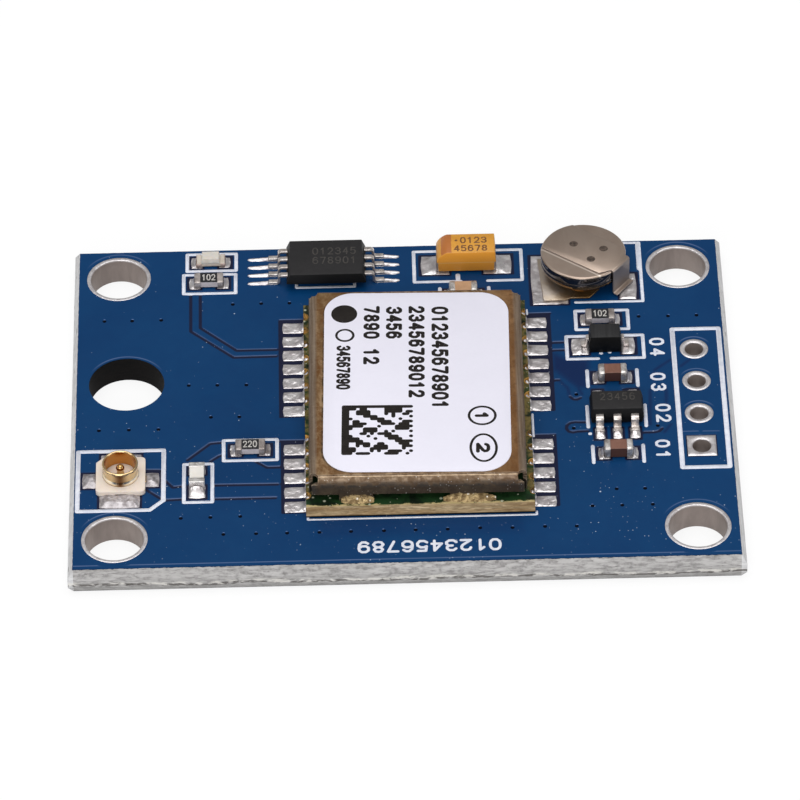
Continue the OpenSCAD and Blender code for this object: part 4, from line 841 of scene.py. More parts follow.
# Solder mask sheet over the board's top face: grid, openings and the copper left out under it
maskSet = {
    "cell": 0.1, "floor": 1.603, "top": 1.62, "line": 0.09,
    "rounds": [(x, y, platingSet["rim"]) for x, y in platingSet["mounts"]] + [(-15.0, 1.72, 2.06)]
              + [(platingSet["headerX"], y, platingSet["headerRim"]) for y in platingSet["headers"]],
    "clear": [0.22] * 4 + [0.12] + [0.17] * 3, "squareClear": 0.06, "padClear": (0.12, 0.14, 0.13), "frontEdge": -12.18,
    "square": (platingSet["headerX"], platingSet["squareY"], platingSet["headerRim"]),
    "channels": [
        [(-11.53, 8.77), (-11.52, 5.83), (-9.17, 3.66), (-6.84, 3.68)],
        [(-11.0, 8.75), (-10.99, 6.09), (-9.0, 4.21), (-6.77, 4.2)],
        [(-13.94, -5.04), (-13.13, -5.06)], [(-12.82, -5.9), (-12.44, -6.4), (-11.92, -6.32)],
        [(-10.21, -6.31), (-6.79, -6.34)], [(-13.85, -6.54), (-13.16, -7.16), (-12.81, -7.36), (-11.92, -7.32)],
        [(-10.21, -7.36), (-6.93, -7.37)], [(-11.67, -4.34), (-10.43, -3.08), (-9.78, -3.02)],
        [(-10.43, -4.47), (-9.96, -4.07), (-9.78, -4.0)], [(-6.69, -3.02), (-5.35, -3.03)],
        [(-7.99, -4.55), (-7.39, -5.03), (-6.66, -5.03)], [(6.97, 6.6), (8.28, 6.62)],
        [(8.3, 4.26), (8.95, 4.27)], [(8.3, 3.64), (9.01, 3.65)],
        [(8.16, 1.26), (8.57, 1.27)], [(9.12, -0.06), (9.28, -0.26), (9.5, -0.3), (9.7, -0.16)],
        [(9.97, -2.1), (9.3, -2.06), (9.04, -2.12), (8.86, -2.3), (8.82, -2.56), (8.94, -2.78), (9.16, -2.86),
         (9.4, -2.8), (9.99, -2.78)],
        [(12.79, -2.99), (13.57, -2.99), (13.86, -2.9), (14.0, -2.7)], [(12.04, 0.4), (12.87, 0.39)],
    ],
    "steps": [[(15.14, -3.08), (15.89, -3.08)], [(16.22, -3.09), (17.04, -3.11)]],
    "faint": [
        [(8.57, 1.27), (9.01, 0.64), (9.11, 0.04)], [(8.64, 1.81), (9.56, 0.75), (9.78, 0.1)],
        [(14.11, -3.01), (14.47, -2.42)], [(13.5, 0.33), (13.36, -2.41)], [(14.37, 0.3), (14.32, -0.72)],
        [(13.82, 1.88), (14.75, 2.7)], [(15.26, 2.14), (15.79, 2.67)],
    ],
    "bare": [(8.33, 3.41), (9.02, 2.95), (10.28, 2.79), (10.09, 0.61), (9.59, 0.62), (8.64, 1.75), (8.28, 2.13)],
    "blocks": [(-6.7, -1.2, -5.2, 6.62), (-6.64, -8.6, -5.2, -2.98), (6.9, -1.15, 8.3, 6.63), (7.0, -8.5, 8.26, -2.94)],
}


def distanceToPath(points, path):
    best = np.full(len(points), 1e9)
    for a, b in zip(path, path[1:]):
        a, b = np.array(a), np.array(b)
        run = b - a
        t = np.clip(((points - a) @ run) / max(run @ run, 1e-9), 0, 1)
        best = np.minimum(best, np.linalg.norm(points - a - t[:, None] * run, axis=1))
    return best


def distanceToBlock(points, x0, y0, x1, y1):
    q = np.abs(points - np.array(((x0 + x1) / 2, (y0 + y1) / 2))) - np.array(((x1 - x0) / 2, (y1 - y0) / 2))
    return np.linalg.norm(np.maximum(q, 0), axis=1) + np.minimum(np.max(q, axis=1), 0)


def insidePolygon(points, corners):
    inside = np.zeros(len(points), bool)
    for (x0, y0), (x1, y1) in zip(corners, corners[1:] + corners[:1]):
        crosses = (y0 > points[:, 1]) != (y1 > points[:, 1])
        inside ^= crosses & (points[:, 0] < (x1 - x0) * (points[:, 1] - y0) / ((y1 - y0) or 1e-9) + x0)
    return inside


# Positive over copper, negative where the copper is left out; pads stand apart, because their gaps get no painted
# highlight on their step
def copperDistance(points, stepsToo):
    field = np.full(len(points), 5.0)
    for path in maskSet["channels"]:
        field = np.minimum(field, distanceToPath(points, path) - maskSet["line"])
    for zone in maskSet["blocks"]:
        field = np.minimum(field, distanceToBlock(points, *zone))
    x, y, half = maskSet["square"]
    half += maskSet["squareClear"]
    field = np.minimum(field, distanceToBlock(points, x - half, y - half, x + half, y + half))
    if stepsToo:
        for path in maskSet["steps"]:
            field = np.minimum(field, distanceToPath(points, path) - maskSet["line"])
        for (x, y, r), clear in zip(maskSet["rounds"], maskSet["clear"]):
            field = np.minimum(field, np.hypot(points[:, 0] - x, points[:, 1] - y) - r - clear)
        field = np.minimum(field, points[:, 1] - maskSet["frontEdge"])
    return field


def padDistance(points):
    field = np.full(len(points), 5.0)
    behind, before, beside = maskSet["padClear"]
    for spot, turn, inner, wall, outer, width, rise, options in joints + socketJoints:
        if not options.get("framed", True):
            continue
        c, s = math.cos(math.radians(turn)), math.sin(math.radians(turn))
        local = (points - np.array(spot)) @ np.array(((c, -s), (s, c)))
        half = width / 2 + beside
        field = np.minimum(field, distanceToBlock(local, inner - behind, -half, outer + before, half))
    return field


def makeMask():
    halfX, halfY = maskHalf
    nx, ny = round(2 * halfX / maskSet["cell"]), round(2 * halfY / maskSet["cell"])
    bm = bmesh.new()
    bmesh.ops.create_grid(bm, x_segments=nx, y_segments=ny, size=0.5)
    bmesh.ops.scale(bm, vec=(2 * halfX * mm, 2 * halfY * mm, 1), verts=bm.verts)
    openings = [(x, y, r, False) for x, y, r in maskSet["rounds"]] + [maskSet["square"] + (True,)]
    gone = []
    for v in bm.verts:
        x, y = v.co.x / mm, v.co.y / mm
        for cx, cy, r, isSquare in openings:
            far = max(abs(x - cx), abs(y - cy)) if isSquare else math.hypot(x - cx, y - cy)
            if far < r:
                if far < r - 1.5 * maskSet["cell"]:
                    gone.append(v)
                elif isSquare:
                    if abs(x - cx) >= abs(y - cy):
                        v.co.x = (cx + math.copysign(r, x - cx)) * mm
                    else:
                        v.co.y = (cy + math.copysign(r, y - cy)) * mm
                else:
                    v.co.x, v.co.y = (cx + (x - cx) * r / far) * mm, (cy + (y - cy) * r / far) * mm
    bmesh.ops.delete(bm, geom=gone, context="VERTS")
    bmesh.ops.dissolve_degenerate(bm, dist=0.0005 * mm, edges=bm.edges)
    for v in bm.verts:    # ragged outline
        for axis, half in ((0, halfX), (1, halfY)):
            if abs(v.co[axis]) > (half - 0.01) * mm:
                v.co[axis] -= math.copysign(0.02 + 0.012 * noise.noise(v.co * 3000), v.co[axis]) * mm
    points = np.array([(v.co.x, v.co.y) for v in bm.verts]) / mm
    copper, pads = copperDistance(points, True), padDistance(points)
    field, gap = np.minimum(copper, pads), np.minimum(copperDistance(points, False), pads)
    near = np.array((0.0, 0.03))
    # Slope of the copper edge towards the back, which places the painted highlight on the far step; none beside pads
    rise = (copperDistance(points + near, True) - copperDistance(points - near, True)) / 0.06
    rise[pads < copper + 0.08] = 0
    corners = maskSet["bare"]
    rim = distanceToPath(points, corners + corners[:1])
    dim = np.clip(0.5 + np.where(insidePolygon(points, corners), rim, -rim) / 0.4, 0, 1)
    dim = np.maximum(dim, 0.3 * np.clip(0.5 - distanceToBlock(points, -4.6, -10.4, 6.2, -9.2) / 0.5, 0, 1))
    for path in maskSet["faint"]:
        dim = np.maximum(dim, 0.8 * np.clip(1.4 - distanceToPath(points, path) / 0.1, 0, 1))
    t = np.clip((gap + 0.05) / 0.12, 0, 1)
    height = maskSet["floor"] + (maskSet["top"] - maskSet["floor"]) * t * t * (3 - 2 * t)
    for v, z in zip(bm.verts, height):
        v.co.z = z * mm
    piece = addPiece("solder_mask", bm, "solderMask", sharp=80)
    for label, values in (("pour", field), ("gap", gap), ("rise", rise), ("dim", dim)):
        layer = piece.data.attributes.new(label, "FLOAT", "POINT")
        layer.data.foreach_set("value", values.astype(np.float32))
    return piece


maskPiece = makeMask()
print("stage: solder mask", len(maskPiece.data.polygons))


# Solder: a sheet that hugs its pad, climbs the part and wrinkles as it set
def solderPad(bm, spot, turn, inner, wall, outer, width, rise, options, seed):
    cell = options.get("cell", 0.06)
    nx, ny = max(6, round((outer - inner) / cell)), max(6, round(width / cell))
    part = bmesh.new()
    bmesh.ops.create_grid(part, x_segments=nx, y_segments=ny, size=0.5)
    endRound = options.get("round", 0.05)
    for v in part.verts:
        x = inner + (v.co.x + 0.5) * (outer - inner)
        q = 2 * v.co.y
        if x > outer - endRound:
            q *= math.sqrt(max(0.05, 1 - ((x - outer + endRound) / endRound) ** 2))
        y = q * width / 2
        wavy = noise.noise(Vector((x * 2.3, y * 2.3, seed * 7.7))) * 0.03
        side = min((1 - abs(2 * v.co.y)) * width / 2, outer - x, x - inner + 0.02) / options.get("skirt", 0.06)
        side = max(0.0, min(1.0, side))
        skirt = side * side * (3 - 2 * side)
        z = 0.003 + options.get("high", 0.017) * skirt + options.get("dome", 0.0) * (1 - 4 * v.co.y ** 2) * skirt
        if x > wall:
            t = max(0.0, (outer - x) / (outer - wall))
            slim = options.get("narrow")
            across = math.exp(-(y / slim) ** 4) if slim else 1 - abs(2 * v.co.y) ** 3
            z += rise * t ** options.get("climb", 2.0) * max(0.0, across)
            lump = noise.noise(Vector((x * 4 + seed, y * 4, seed * 3.1)))
            lump += 0.6 * noise.noise(Vector((x * 9, y * 9 + seed, seed)))
            z += options.get("crumple", 0.02) * lump * skirt
        v.co = Vector((x, y + wavy * (1 - skirt), max(0.003, z)))
    bmesh.ops.scale(part, vec=(mm, mm, mm), verts=part.verts)
    setDown(bm, part, spot, turn, boardTop)


def solderPads(group, firstSeed):
    bm = bmesh.new()
    for i, joint in enumerate(group):
        solderPad(bm, *joint, seed=i + firstSeed)
    return bm


addPiece("part_solder", solderPads(joints, 1), "solder", ("component_solder",), sharp=70)
addPiece("socket_solder", solderPads(socketJoints, 61), "dullSolder", sharp=70)
bm = solderPads(landJoints, 101)
# Lumps in the half holes, but for a few that stayed plain
plainHoles = {(180, 0), (180, 1), (0, 10)}
for i, joint in enumerate(landJoints):
    (x, y), side = joint[0], joint[1]
    if (side, i // 2) in plainHoles:
        continue
    out = 1 if side == 0 else -1
    for k in range(2):
        part = bmesh.new()
        bmesh.ops.create_icosphere(part, subdivisions=3, radius=mm)
        for v in part.verts:
            lump = noise.noise(v.co * 1400 + Vector((i * 3.7, k * 5.1, 0)))
            v.co = v.co * (1 + 0.35 * lump)
        size = 0.9 + 0.4 * noise.noise(Vector((i * 1.7, k * 2.3, 4.0)))
        bmesh.ops.scale(part, vec=((0.2 - 0.07 * k) * size, 0.2 * size, 0.3 - 0.12 * k), verts=part.verts)
        inward = out * (0.14 - 0.12 * k)
        bmesh.ops.translate(part, vec=place(x - inward, y + 0.14 * (k - 0.4), 2.14 - 0.32 * k), verts=part.verts)
        joinInto(bm, part)
addPiece("receiver_lands", bm, "solder", ("receiver_solder",), sharp=70)
print("stage: solder")

# White print: boxes, bars, dots and the pin numbers
printSet = {
    "line": 0.22, "low": 1.603, "high": 1.632,
    "boxes": [((-10.37, 11.41), (2.94, 1.6)), ((-10.48, 9.65), (3.1, 1.76)), ((-8.27, -3.66), (3.1, 1.8)),
              ((11.12, 6.0), (3.1, 1.74)), ((-11.08, -6.11), (1.74, 3.14))],
    "gapped": [((11.2, 3.81), (4.42, 2.04), 11.15, 0.72), ((3.87, 10.66), (6.2, 2.72), 4.2, 1.5)],
    "bars": [((2.27, 7.49), (2.27, 8.97)), ((4.98, 7.49), (4.98, 8.97)), ((10.13, 0.57), (10.13, 2.07)),
             ((12.85, 0.57), (12.85, 2.07)), ((10.18, -5.36), (10.18, -3.86)), ((12.9, -5.36), (12.9, -3.86)),
             ((10.01, -2.6), (10.01, -0.74)), ((13.15, -2.6), (13.15, -0.74))],
    "paths": [([(14.94, -5.77), (17.48, -5.77), (17.48, 5.11), (14.94, 5.11), (14.94, -5.77)], 0.29),
              ([(-5.66, 9.44), (-5.66, 9.19), (-2.44, 9.19), (-2.44, 9.44)], 0.2),
              ([(9.74, 7.46), (13.46, 7.46), (13.46, 12.25), (10.6, 12.25)], 0.2), ([(13.4, 10.1), (13.4, 12.2)], 0.32),
              ([(-5.22, -8.86), (-5.22, -9.09), (6.98, -9.09), (6.98, -8.86)], 0.15),
              ([(7.02, -1.38), (7.02, -3.08)], 0.15), ([(7.02, 6.6), (7.02, 6.95)], 0.13),
              ([(3.3, 9.45), (3.3, 9.91)], 0.28)],
    "dots": [(10.96, 3.32), (11.44, 3.4), (10.08, -3.0)], "dot": 0.24, "socketBox": (-17.54, -3.51),
    "numbers": [("04", 13.61, 4.465, 0.83), ("03", 13.53, 1.68, 0.84), ("02", 13.68, -0.78, 0.84),
                ("01", 13.53, -3.575, 0.81)],
}


def makePrint():
    bm = bmesh.new()
    line, low, high = printSet["line"], printSet["low"], printSet["high"]
    for (x, y), (w, d) in printSet["boxes"]:
        a, b = (w - line) / 2, (d - line) / 2
        strokes(bm, [(x - a, y - b), (x + a, y - b), (x + a, y + b), (x - a, y + b), (x - a, y - b)], line, low, high)
    for (x, y), (w, d), gapAt, gap in printSet["gapped"]:
        a, b = (w - line) / 2, (d - line) / 2
        strokes(bm, [(gapAt + gap / 2, y - b), (x + a, y - b), (x + a, y + b), (x - a, y + b), (x - a, y - b),
                     (gapAt - gap / 2, y - b)], line, low, high)
    for a, b in printSet["bars"]:
        run = Vector((b[0] - a[0], b[1] - a[1])).normalized() * line / 2
        strokes(bm, [(a[0] + run.x, a[1] + run.y), (b[0] - run.x, b[1] - run.y)], line, low, high)
    for dot in printSet["dots"]:
        strokes(bm, [dot], printSet["dot"], low, high)
    for path, width in printSet["paths"]:
        strokes(bm, path, width, low, high)
    x, y = printSet["socketBox"]
    outline = [(x, y), (x + 4.6, y), (x + 4.6, y - 3.85), (x + 3.88, y - 4.56), (x, y - 4.56), (x, y)]
    strokes(bm, outline, 0.27, low, high)
    for text, x, y, height in printSet["numbers"]:
        writeLine(bm, text, (x + 0.1, y - 0.1), (0, -1), (1, 0), height - 0.16, 0.44, 0.83, 0.17, low, high)
    writeLine(bm, "0123456789", (4.95, -10.9), (-1, 0), (0, -1), 0.73, 0.52, 0.775, 0.17, low, high)
    addPiece("board_print", bm, "printInk", ("silkscreen",), sharp=60)


makePrint()

# Tented vias: shallow dark spots
viaSpots = [
    (-16.28, 6.8), (-14.75, 6.78), (-13.15, 6.79), (-9.2, 7.94), (-7.63, 7.96), (-6.07, 7.94), (-11.61, 1.51),
    (-10.05, 1.48), (-8.47, 1.45), (-10.4, -1.03), (-8.86, -1.05), (-16.46, -1.88), (-14.84, -1.88), (-13.24, -1.89),
    (-12.0, -8.76), (-10.42, -8.74), (-8.83, -8.72), (-9.73, -10.05), (-7.99, -10.05), (-6.34, -10.06),
    (-4.62, -10.06), (-2.94, -10.05), (-1.19, -10.05),
    (0.5, -10.04), (2.2, -10.04), (3.93, -10.0), (5.65, -10.04), (7.38, -10.01), (9.07, -10.04), (12.84, -7.3),
    (13.19, -8.53), (11.32, -7.29), (11.56, -8.54), (9.97, -8.54), (9.47, 0.1), (9.22, -2.54), (13.77, -2.49),
    (13.16, 6.21), (14.78, 6.19), (16.35, 6.2)]
bm = bmesh.new()
for x, y in viaSpots:
    joinInto(bm, spun([(0.0, 1.6212), (0.05, 1.6214), (0.09, 1.6228), (0.11, 1.621)], x, y, steps=16))
addPiece("via_spots", bm, "viaShade", sharp=80)
# Painted highlight: a pale disc just behind each via, mostly towards the back
bm = bmesh.new()
for i, (x, y) in enumerate(viaSpots):
    turn = 0.9 * noise.noise(Vector((i * 1.3, 2.0, 0)))
    x, y = x + 0.08 * math.sin(turn), y + 0.11 * math.cos(turn)
    joinInto(bm, spun([(0.0, 1.6214), (0.045, 1.6214), (0.06, 1.62)], x, y, steps=12))
addPiece("via_rims", bm, "viaRim", sharp=80)
print("stage: print and vias")


# Plated holes
def platingProfile(r, rim, crown):
    wall = r + 0.05
    return ([(rim, 1.56), (rim, 1.61), (rim - 0.03, 1.62 + crown * 0.4), ((rim + r) / 2, 1.622 + crown)]
            + arc(wall, 1.57, 0.05, 90, 180, 4) + arc(wall, 0.05, 0.05, 180, 270, 4)
            + [(rim, 0.0), (rim, 0.05), (wall + 0.002, 0.06), (wall + 0.002, 1.55)])


def headerBarrel(y):
    profile = platingProfile(platingSet["headerR"], platingSet["headerRim"], 0.02)
    return spun(profile, platingSet["headerX"], y, steps=64, closed=True)


bm = bmesh.new()
for x, y in platingSet["mounts"]:
    joinInto(bm, spun(platingProfile(platingSet["r"], platingSet["rim"], 0.0), x, y, steps=120, closed=True))
addPiece("mount_plating", bm, "holePlating", ("mounting_hole_plating",))
bm = bmesh.new()
for y in platingSet["headers"]:
    joinInto(bm, headerBarrel(y))
# The last pad is square: its rim grows out of the same round barrel
squareX, squareY, barrel = platingSet["headerX"], platingSet["squareY"], 0.6
part = headerBarrel(squareY)
for v in part.verts:
    dx, dy = v.co.x / mm - squareX, v.co.y / mm - squareY
    r = math.hypot(dx, dy)
    if r > barrel:
        grow = 1 + (r / max(abs(dx), abs(dy)) - 1) * min(1, (r - barrel) / 0.15)
        v.co.x, v.co.y = (squareX + dx * grow) * mm, (squareY + dy * grow) * mm
joinInto(bm, part)
addPiece("header_plating", bm, "holePlating", ("header_hole_plating",))
print("stage: plated holes")


# Label with rounded corners and its print
def makeLabel():
    t = labelSet["high"] - labelSet["low"]
    bm = block(*labelSet["size"], t)
    settle(bm, labelSet["at"], labelSet["turn"], labelSet["low"] + t / 2)
    for v in bm.verts:    # laid on a little out of square
        v.co.x += 0.05 * mm - 0.004 * (v.co.y - labelSet["at"][1] * mm)
    upright = [e for e in bm.edges if abs(e.verts[0].co.z - e.verts[1].co.z) > 0.01 * mm]
    soften(bm, upright, labelSet["r"], 14)
    rim = labelSet["high"] * mm - 1e-7
    soften(bm, [e for e in bm.edges if min(v.co.z for v in e.verts) > rim and len(e.link_faces) == 2], 0.018, 2)
    addPiece("label_sheet", bm, "labelPaper", ("receiver_label",), sharp=60)


# Rows of plain digits: text, start, height, width, step and line
labelRows = [
    ("012345678901", (1.82, 4.61), 0.72, 0.42, 0.675, 0.2), ("23456789012", (0.57, 4.7), 0.68, 0.4, 0.665, 0.2),
    ("3456", (-0.66, 4.69), 0.68, 0.4, 0.655, 0.2), ("7890 12", (-1.88, 4.78), 0.68, 0.4, 0.675, 0.2),
    ("34567890", (-3.42, 1.7), 0.6, 0.27, 0.435, 0.16), ("1", (3.93, -3.75), 0.56, 0.4, 0.5, 0.2),
    ("2", (3.93, -6.16), 0.56, 0.56, 0.6, 0.2)]
# Rings: centre, half width, half depth and line
labelRings = [((-3.04, 2.57), 0.53, 0.52, 0.14), ((4.23, -3.96), 0.78, 0.76, 0.145), ((4.23, -6.44), 0.76, 1.1, 0.145)]
codeSet = {"corner": (-3.27, -2.95), "cell": 0.19, "count": 20}


def makeLabelPrint():
    bm = bmesh.new()
    low, high = labelSet["high"] - 0.001, labelSet["ink"] - 0.005
    lean = math.radians(labelSet["turn"])
    down, right = (math.sin(lean), -math.cos(lean)), (math.cos(lean), math.sin(lean))
    joinInto(bm, spun([(0.0, high), (0.7, high), (0.715, low)], -3.05, 4.28, steps=48))
    for text, start, height, width, step, line in labelRows:
        writeLine(bm, text, start, down, right, height, width, step, line, low, high, 0.004)
    for (x, y), wide, deep, line in labelRings:
        hole = wide - line
        ring = spun([(hole, low), (hole + 0.006, high), (wide - 0.006, high), (wide, low)], 0, 0, steps=64)
        for v in ring.verts:
            r = v.co.xy.length / mm
            v.co.y *= (deep - (wide - r)) / max(r, 1e-6)
        bmesh.ops.translate(ring, vec=place(x, y, 0), verts=ring.verts)
        joinInto(bm, ring)
    # Square code: solid left and back sides, a notched right side, the rest set by a plain formula in runs
    n, cell = codeSet["count"], codeSet["cell"]

    def dark(i, j):
        if i < 0 or j < 0 or i >= n or j >= n:
            return False
        if i < 2 or j == 0:
            return True
        if i >= n - 1:
            return j % 2 == 0
        wave = math.sin(i * 0.93 + math.sin(j * 0.71) * 2.6) + math.cos(j * 1.07 - i * 0.53)
        return wave + 0.5 * math.sin(i * 2.3 + j * 1.9) > 0.05

    for i in range(n):
        for j in range(n):
            if dark(i, j):
                x, y = (codeSet["corner"][k] + right[k] * (i + 0.5) * cell + down[k] * (j + 0.5) * cell for k in (0, 1))
                links = [way for way, there in ((right, dark(i + 1, j)), (down, dark(i, j + 1))) if there]
                for way in links or [(0, 0)]:
                    strokes(bm, [(x, y), (x + way[0] * cell, y + way[1] * cell)], cell * 1.16, low, high, 0.004)
    addPiece("label_print", bm, "labelInk", sharp=60)


makeLabel()
makeLabelPrint()
print("stage: label")


# Socket gold: painted reflections, brown inside and in the middle of the front, pale towards both sides, with a painted
# highlight on the low flange and the rim
def makeSocketFinish():
    tree, shader, where = startFinish("socketGold")
    r, top, foot = socketSet["r"] * mm, socketSet["top"] * mm, socketSet["foot"] * mm
    axes = split(tree, where)
    across = calc(tree, "SUBTRACT", axes[0], socketSet["at"][0] * mm)
    along = calc(tree, "SUBTRACT", axes[1], socketSet["at"][1] * mm)
    level = axes[2]
    reach = calc(tree, "SQRT", calc(tree, "ADD", times(tree, across, across), times(tree, along, along)))
    side = spread(tree, calc(tree, "ABSOLUTE", across), 0.02 * r, 0.55 * r)
    front = spread(tree, along, 0.1 * r, -0.3 * r)
    outer = spread(tree, reach, 0.93 * r, 0.95 * r)
    # Painted reflections: brown in the middle of the front, pale towards both sides, brown inside
    wall = blendColour(tree, side, "#6E4C2E", "#D6C096")
    wall = blendColour(tree, spread(tree, level, foot + 0.05 * mm, foot), wall, "#CDA266")
    inner = blendColour(tree, spread(tree, level, top - 0.5 * mm, top - 0.1 * mm), "#C8904E", "#B4702C")
    inner = blendColour(tree, side, inner, "#C69250")
    colour = blendColour(tree, outer, inner, wall)
    flange = times(tree, spread(tree, level, foot, foot + 0.07 * mm),
                   spread(tree, level, foot + 0.27 * mm, foot + 0.2 * mm))
    # Painted highlight on the low flange towards both sides
    flangeHighlight = times(tree, times(tree, flange, outer), times(tree, side, front))
    colour = blendColour(tree, flangeHighlight, colour, "#FFF9E6")
    # Painted highlight along the rim
    colour = blendColour(tree, spread(tree, level, top - 0.1 * mm, top - 0.05 * mm), colour, "#E9CA98")
    bits = useGroup(tree, grain, where, 6000.0)
    fill(tree, shader, {"Base Color": colour, "Roughness": ramp(tree, bits[1], 0.1, 0.16), "Metallic": 1.0})


makeSocketFinish()


def addLug(bm, size, spot):
    part = block(*size)
    soften(part, part.edges[:], 0.03, 3)
    bmesh.ops.translate(part, vec=place(*spot), verts=part.verts)
    joinInto(bm, part)


# Antenna socket: spun ring with rolled lips, domed contact and flat lugs with soft edges
def makeSocket():
    x, y = socketSet["at"]
    r, wall, top, foot = socketSet["r"], socketSet["wall"], socketSet["top"], socketSet["foot"]
    profile = ([(r - wall, 1.87), (r - 0.01, 1.87), (r + 0.0, foot), (r + 0.012, foot + 0.12), (r + 0.012, foot + 0.18),
                (r - 0.035, foot + 0.25), (r - 0.035, foot + 0.36), (r + 0.005, foot + 0.44), (r + 0.01, top - 0.12)]
               + arc(r - wall / 2, top - 0.065, 0.065, 0, 180, 8)
               + [(r - wall, top - 0.2), (r - wall - 0.005, foot + 0.3), (r - wall, foot + 0.05)])
    ring = spun(profile, x, y, steps=96, closed=True)
    for side in (-1, 1):
        addLug(ring, (0.7, 0.5, 0.06), (x + side * 1.2, y - 0.1, 1.66))
    addPiece("socket_ring", ring, "socketGold", ("antenna_socket_shell",))
    profile = [(0.0, 2.664)] + arc(0.0, 2.434, 0.23, 88, -40, 14)
    profile += [(0.19, 2.2), (0.21, 1.95), (0.34, 1.94), (0.36, 1.9)]
    pin = spun(profile, x, y, steps=48)
    addLug(pin, (0.5, 1.1, 0.06), (x, y - 0.95, 1.66))
    addPiece("socket_contact", pin, "goldPlate", ("antenna_socket_pin",))


makeSocket()


def leanCell(bm):
    lean = Matrix.Rotation(math.radians(-cellSet["tilt"]), 3, "X")
    bmesh.ops.rotate(bm, cent=place(*cellSet["at"], 2.6), matrix=lean, verts=bm.verts)
    return bm


# Backup cell: spun can with a tight shoulder above and a wide crimp below, weld pits on the strip
def makeCell():
    x, y = cellSet["at"]
    r, low, top, bend, crimp = cellSet["r"], cellSet["low"], cellSet["top"], cellSet["shoulder"], cellSet["crimp"]
    profile = ([(0.0, low), (r - crimp - 0.1, low)] + arc(r - crimp, low + crimp, crimp, -90, 0, 12)
               + [(r, low + crimp + 0.1), (r - 0.01, low + crimp + 0.12), (r, low + crimp + 0.14)]
               + arc(r - bend, top - bend, bend, 0, 90, 8) + [(0.0, top)])
    addPiece("cell_can", leanCell(spun(profile, x, y, steps=128)), "cellSteel", ("backup_cell_can",))
    # Strip across the top: cut off by the can's edge, with a leg that folds down to the right pad
    outline = [(1.82, -1.12), (2.175, -0.62), (2.2, -0.535), (2.25, -0.535), (2.25, 1.0), (2.06, 1.02)]
    outline += arc(0, 0, 2.27, 30, 40.3, 4) + arc(0, 0, 2.27, 139.7, 209.5, 20)
    strip = bmesh.new()
    setDown(strip, pulled(outline, top - 0.002, top + 0.07, True, 0.018), (x, y), cellSet["turn"])
    leg = ([(2.24, top + 0.035), (2.28, top + 0.035)] + arc(2.28, top - 0.075, 0.11, 90, 0, 6)
           + [(2.395, 1.8)] + arc(2.495, 1.8, 0.1, 180, 270, 5) + [(2.68, 1.695)])
    setDown(strip, bentStrip(leg, 0.07, -0.535, 1.0, 0.008), (x, y), cellSet["turn"])
    addPiece("cell_strip", leanCell(strip), "cellTab", ("backup_cell_top_tab",))
    outline = [(7.97, 7.54), (9.2, 7.58), (9.5, 7.7), (10.52, 7.7), (11.1, 8.4), (11.1, 10.95), (7.74, 10.95)]
    plate = pulled(outline, 1.65, 1.77, True, 0.03)
    addPiece("cell_plate", plate, "cellPlate", ("backup_cell_bottom_tab",))
    bm = bmesh.new()
    profile = [(0.0, top + 0.0725), (0.1, top + 0.0712), (0.17, top + 0.0745), (0.24, top + 0.0703)]
    for px, py in cellSet["pits"]:
        joinInto(bm, spun(profile, px, py, steps=24))
    addPiece("weld_pits", leanCell(bm), "weldPit", sharp=70)


makeCell()

# Packages: soft-edged bodies with formed leads, and the tantalum case with its round bevel
packageSet = {
    "memory": dict(spot=(-4.0, 10.47), size=(4.4, 3.0), levels=(1.78, 2.08, 2.13, 2.7),
                   leans=((0.5, 0.45), (0, 0), (0, 0), (0.2, 0.1))),
    "diode": dict(spot=(11.2, 4.0), size=(1.78, 1.25), levels=(1.625, 2.1, 2.7),
                  leans=((0.03, 0.0), (0, 0), (0.1, 0.08))),
    "regulator": dict(spot=(11.58, -1.5), size=(2.9, 1.6), levels=(1.69, 2.1, 2.17, 2.7),
                      leans=((0.08, 0.05), (0, 0), (0, 0), (0.12, 0.1))),
}


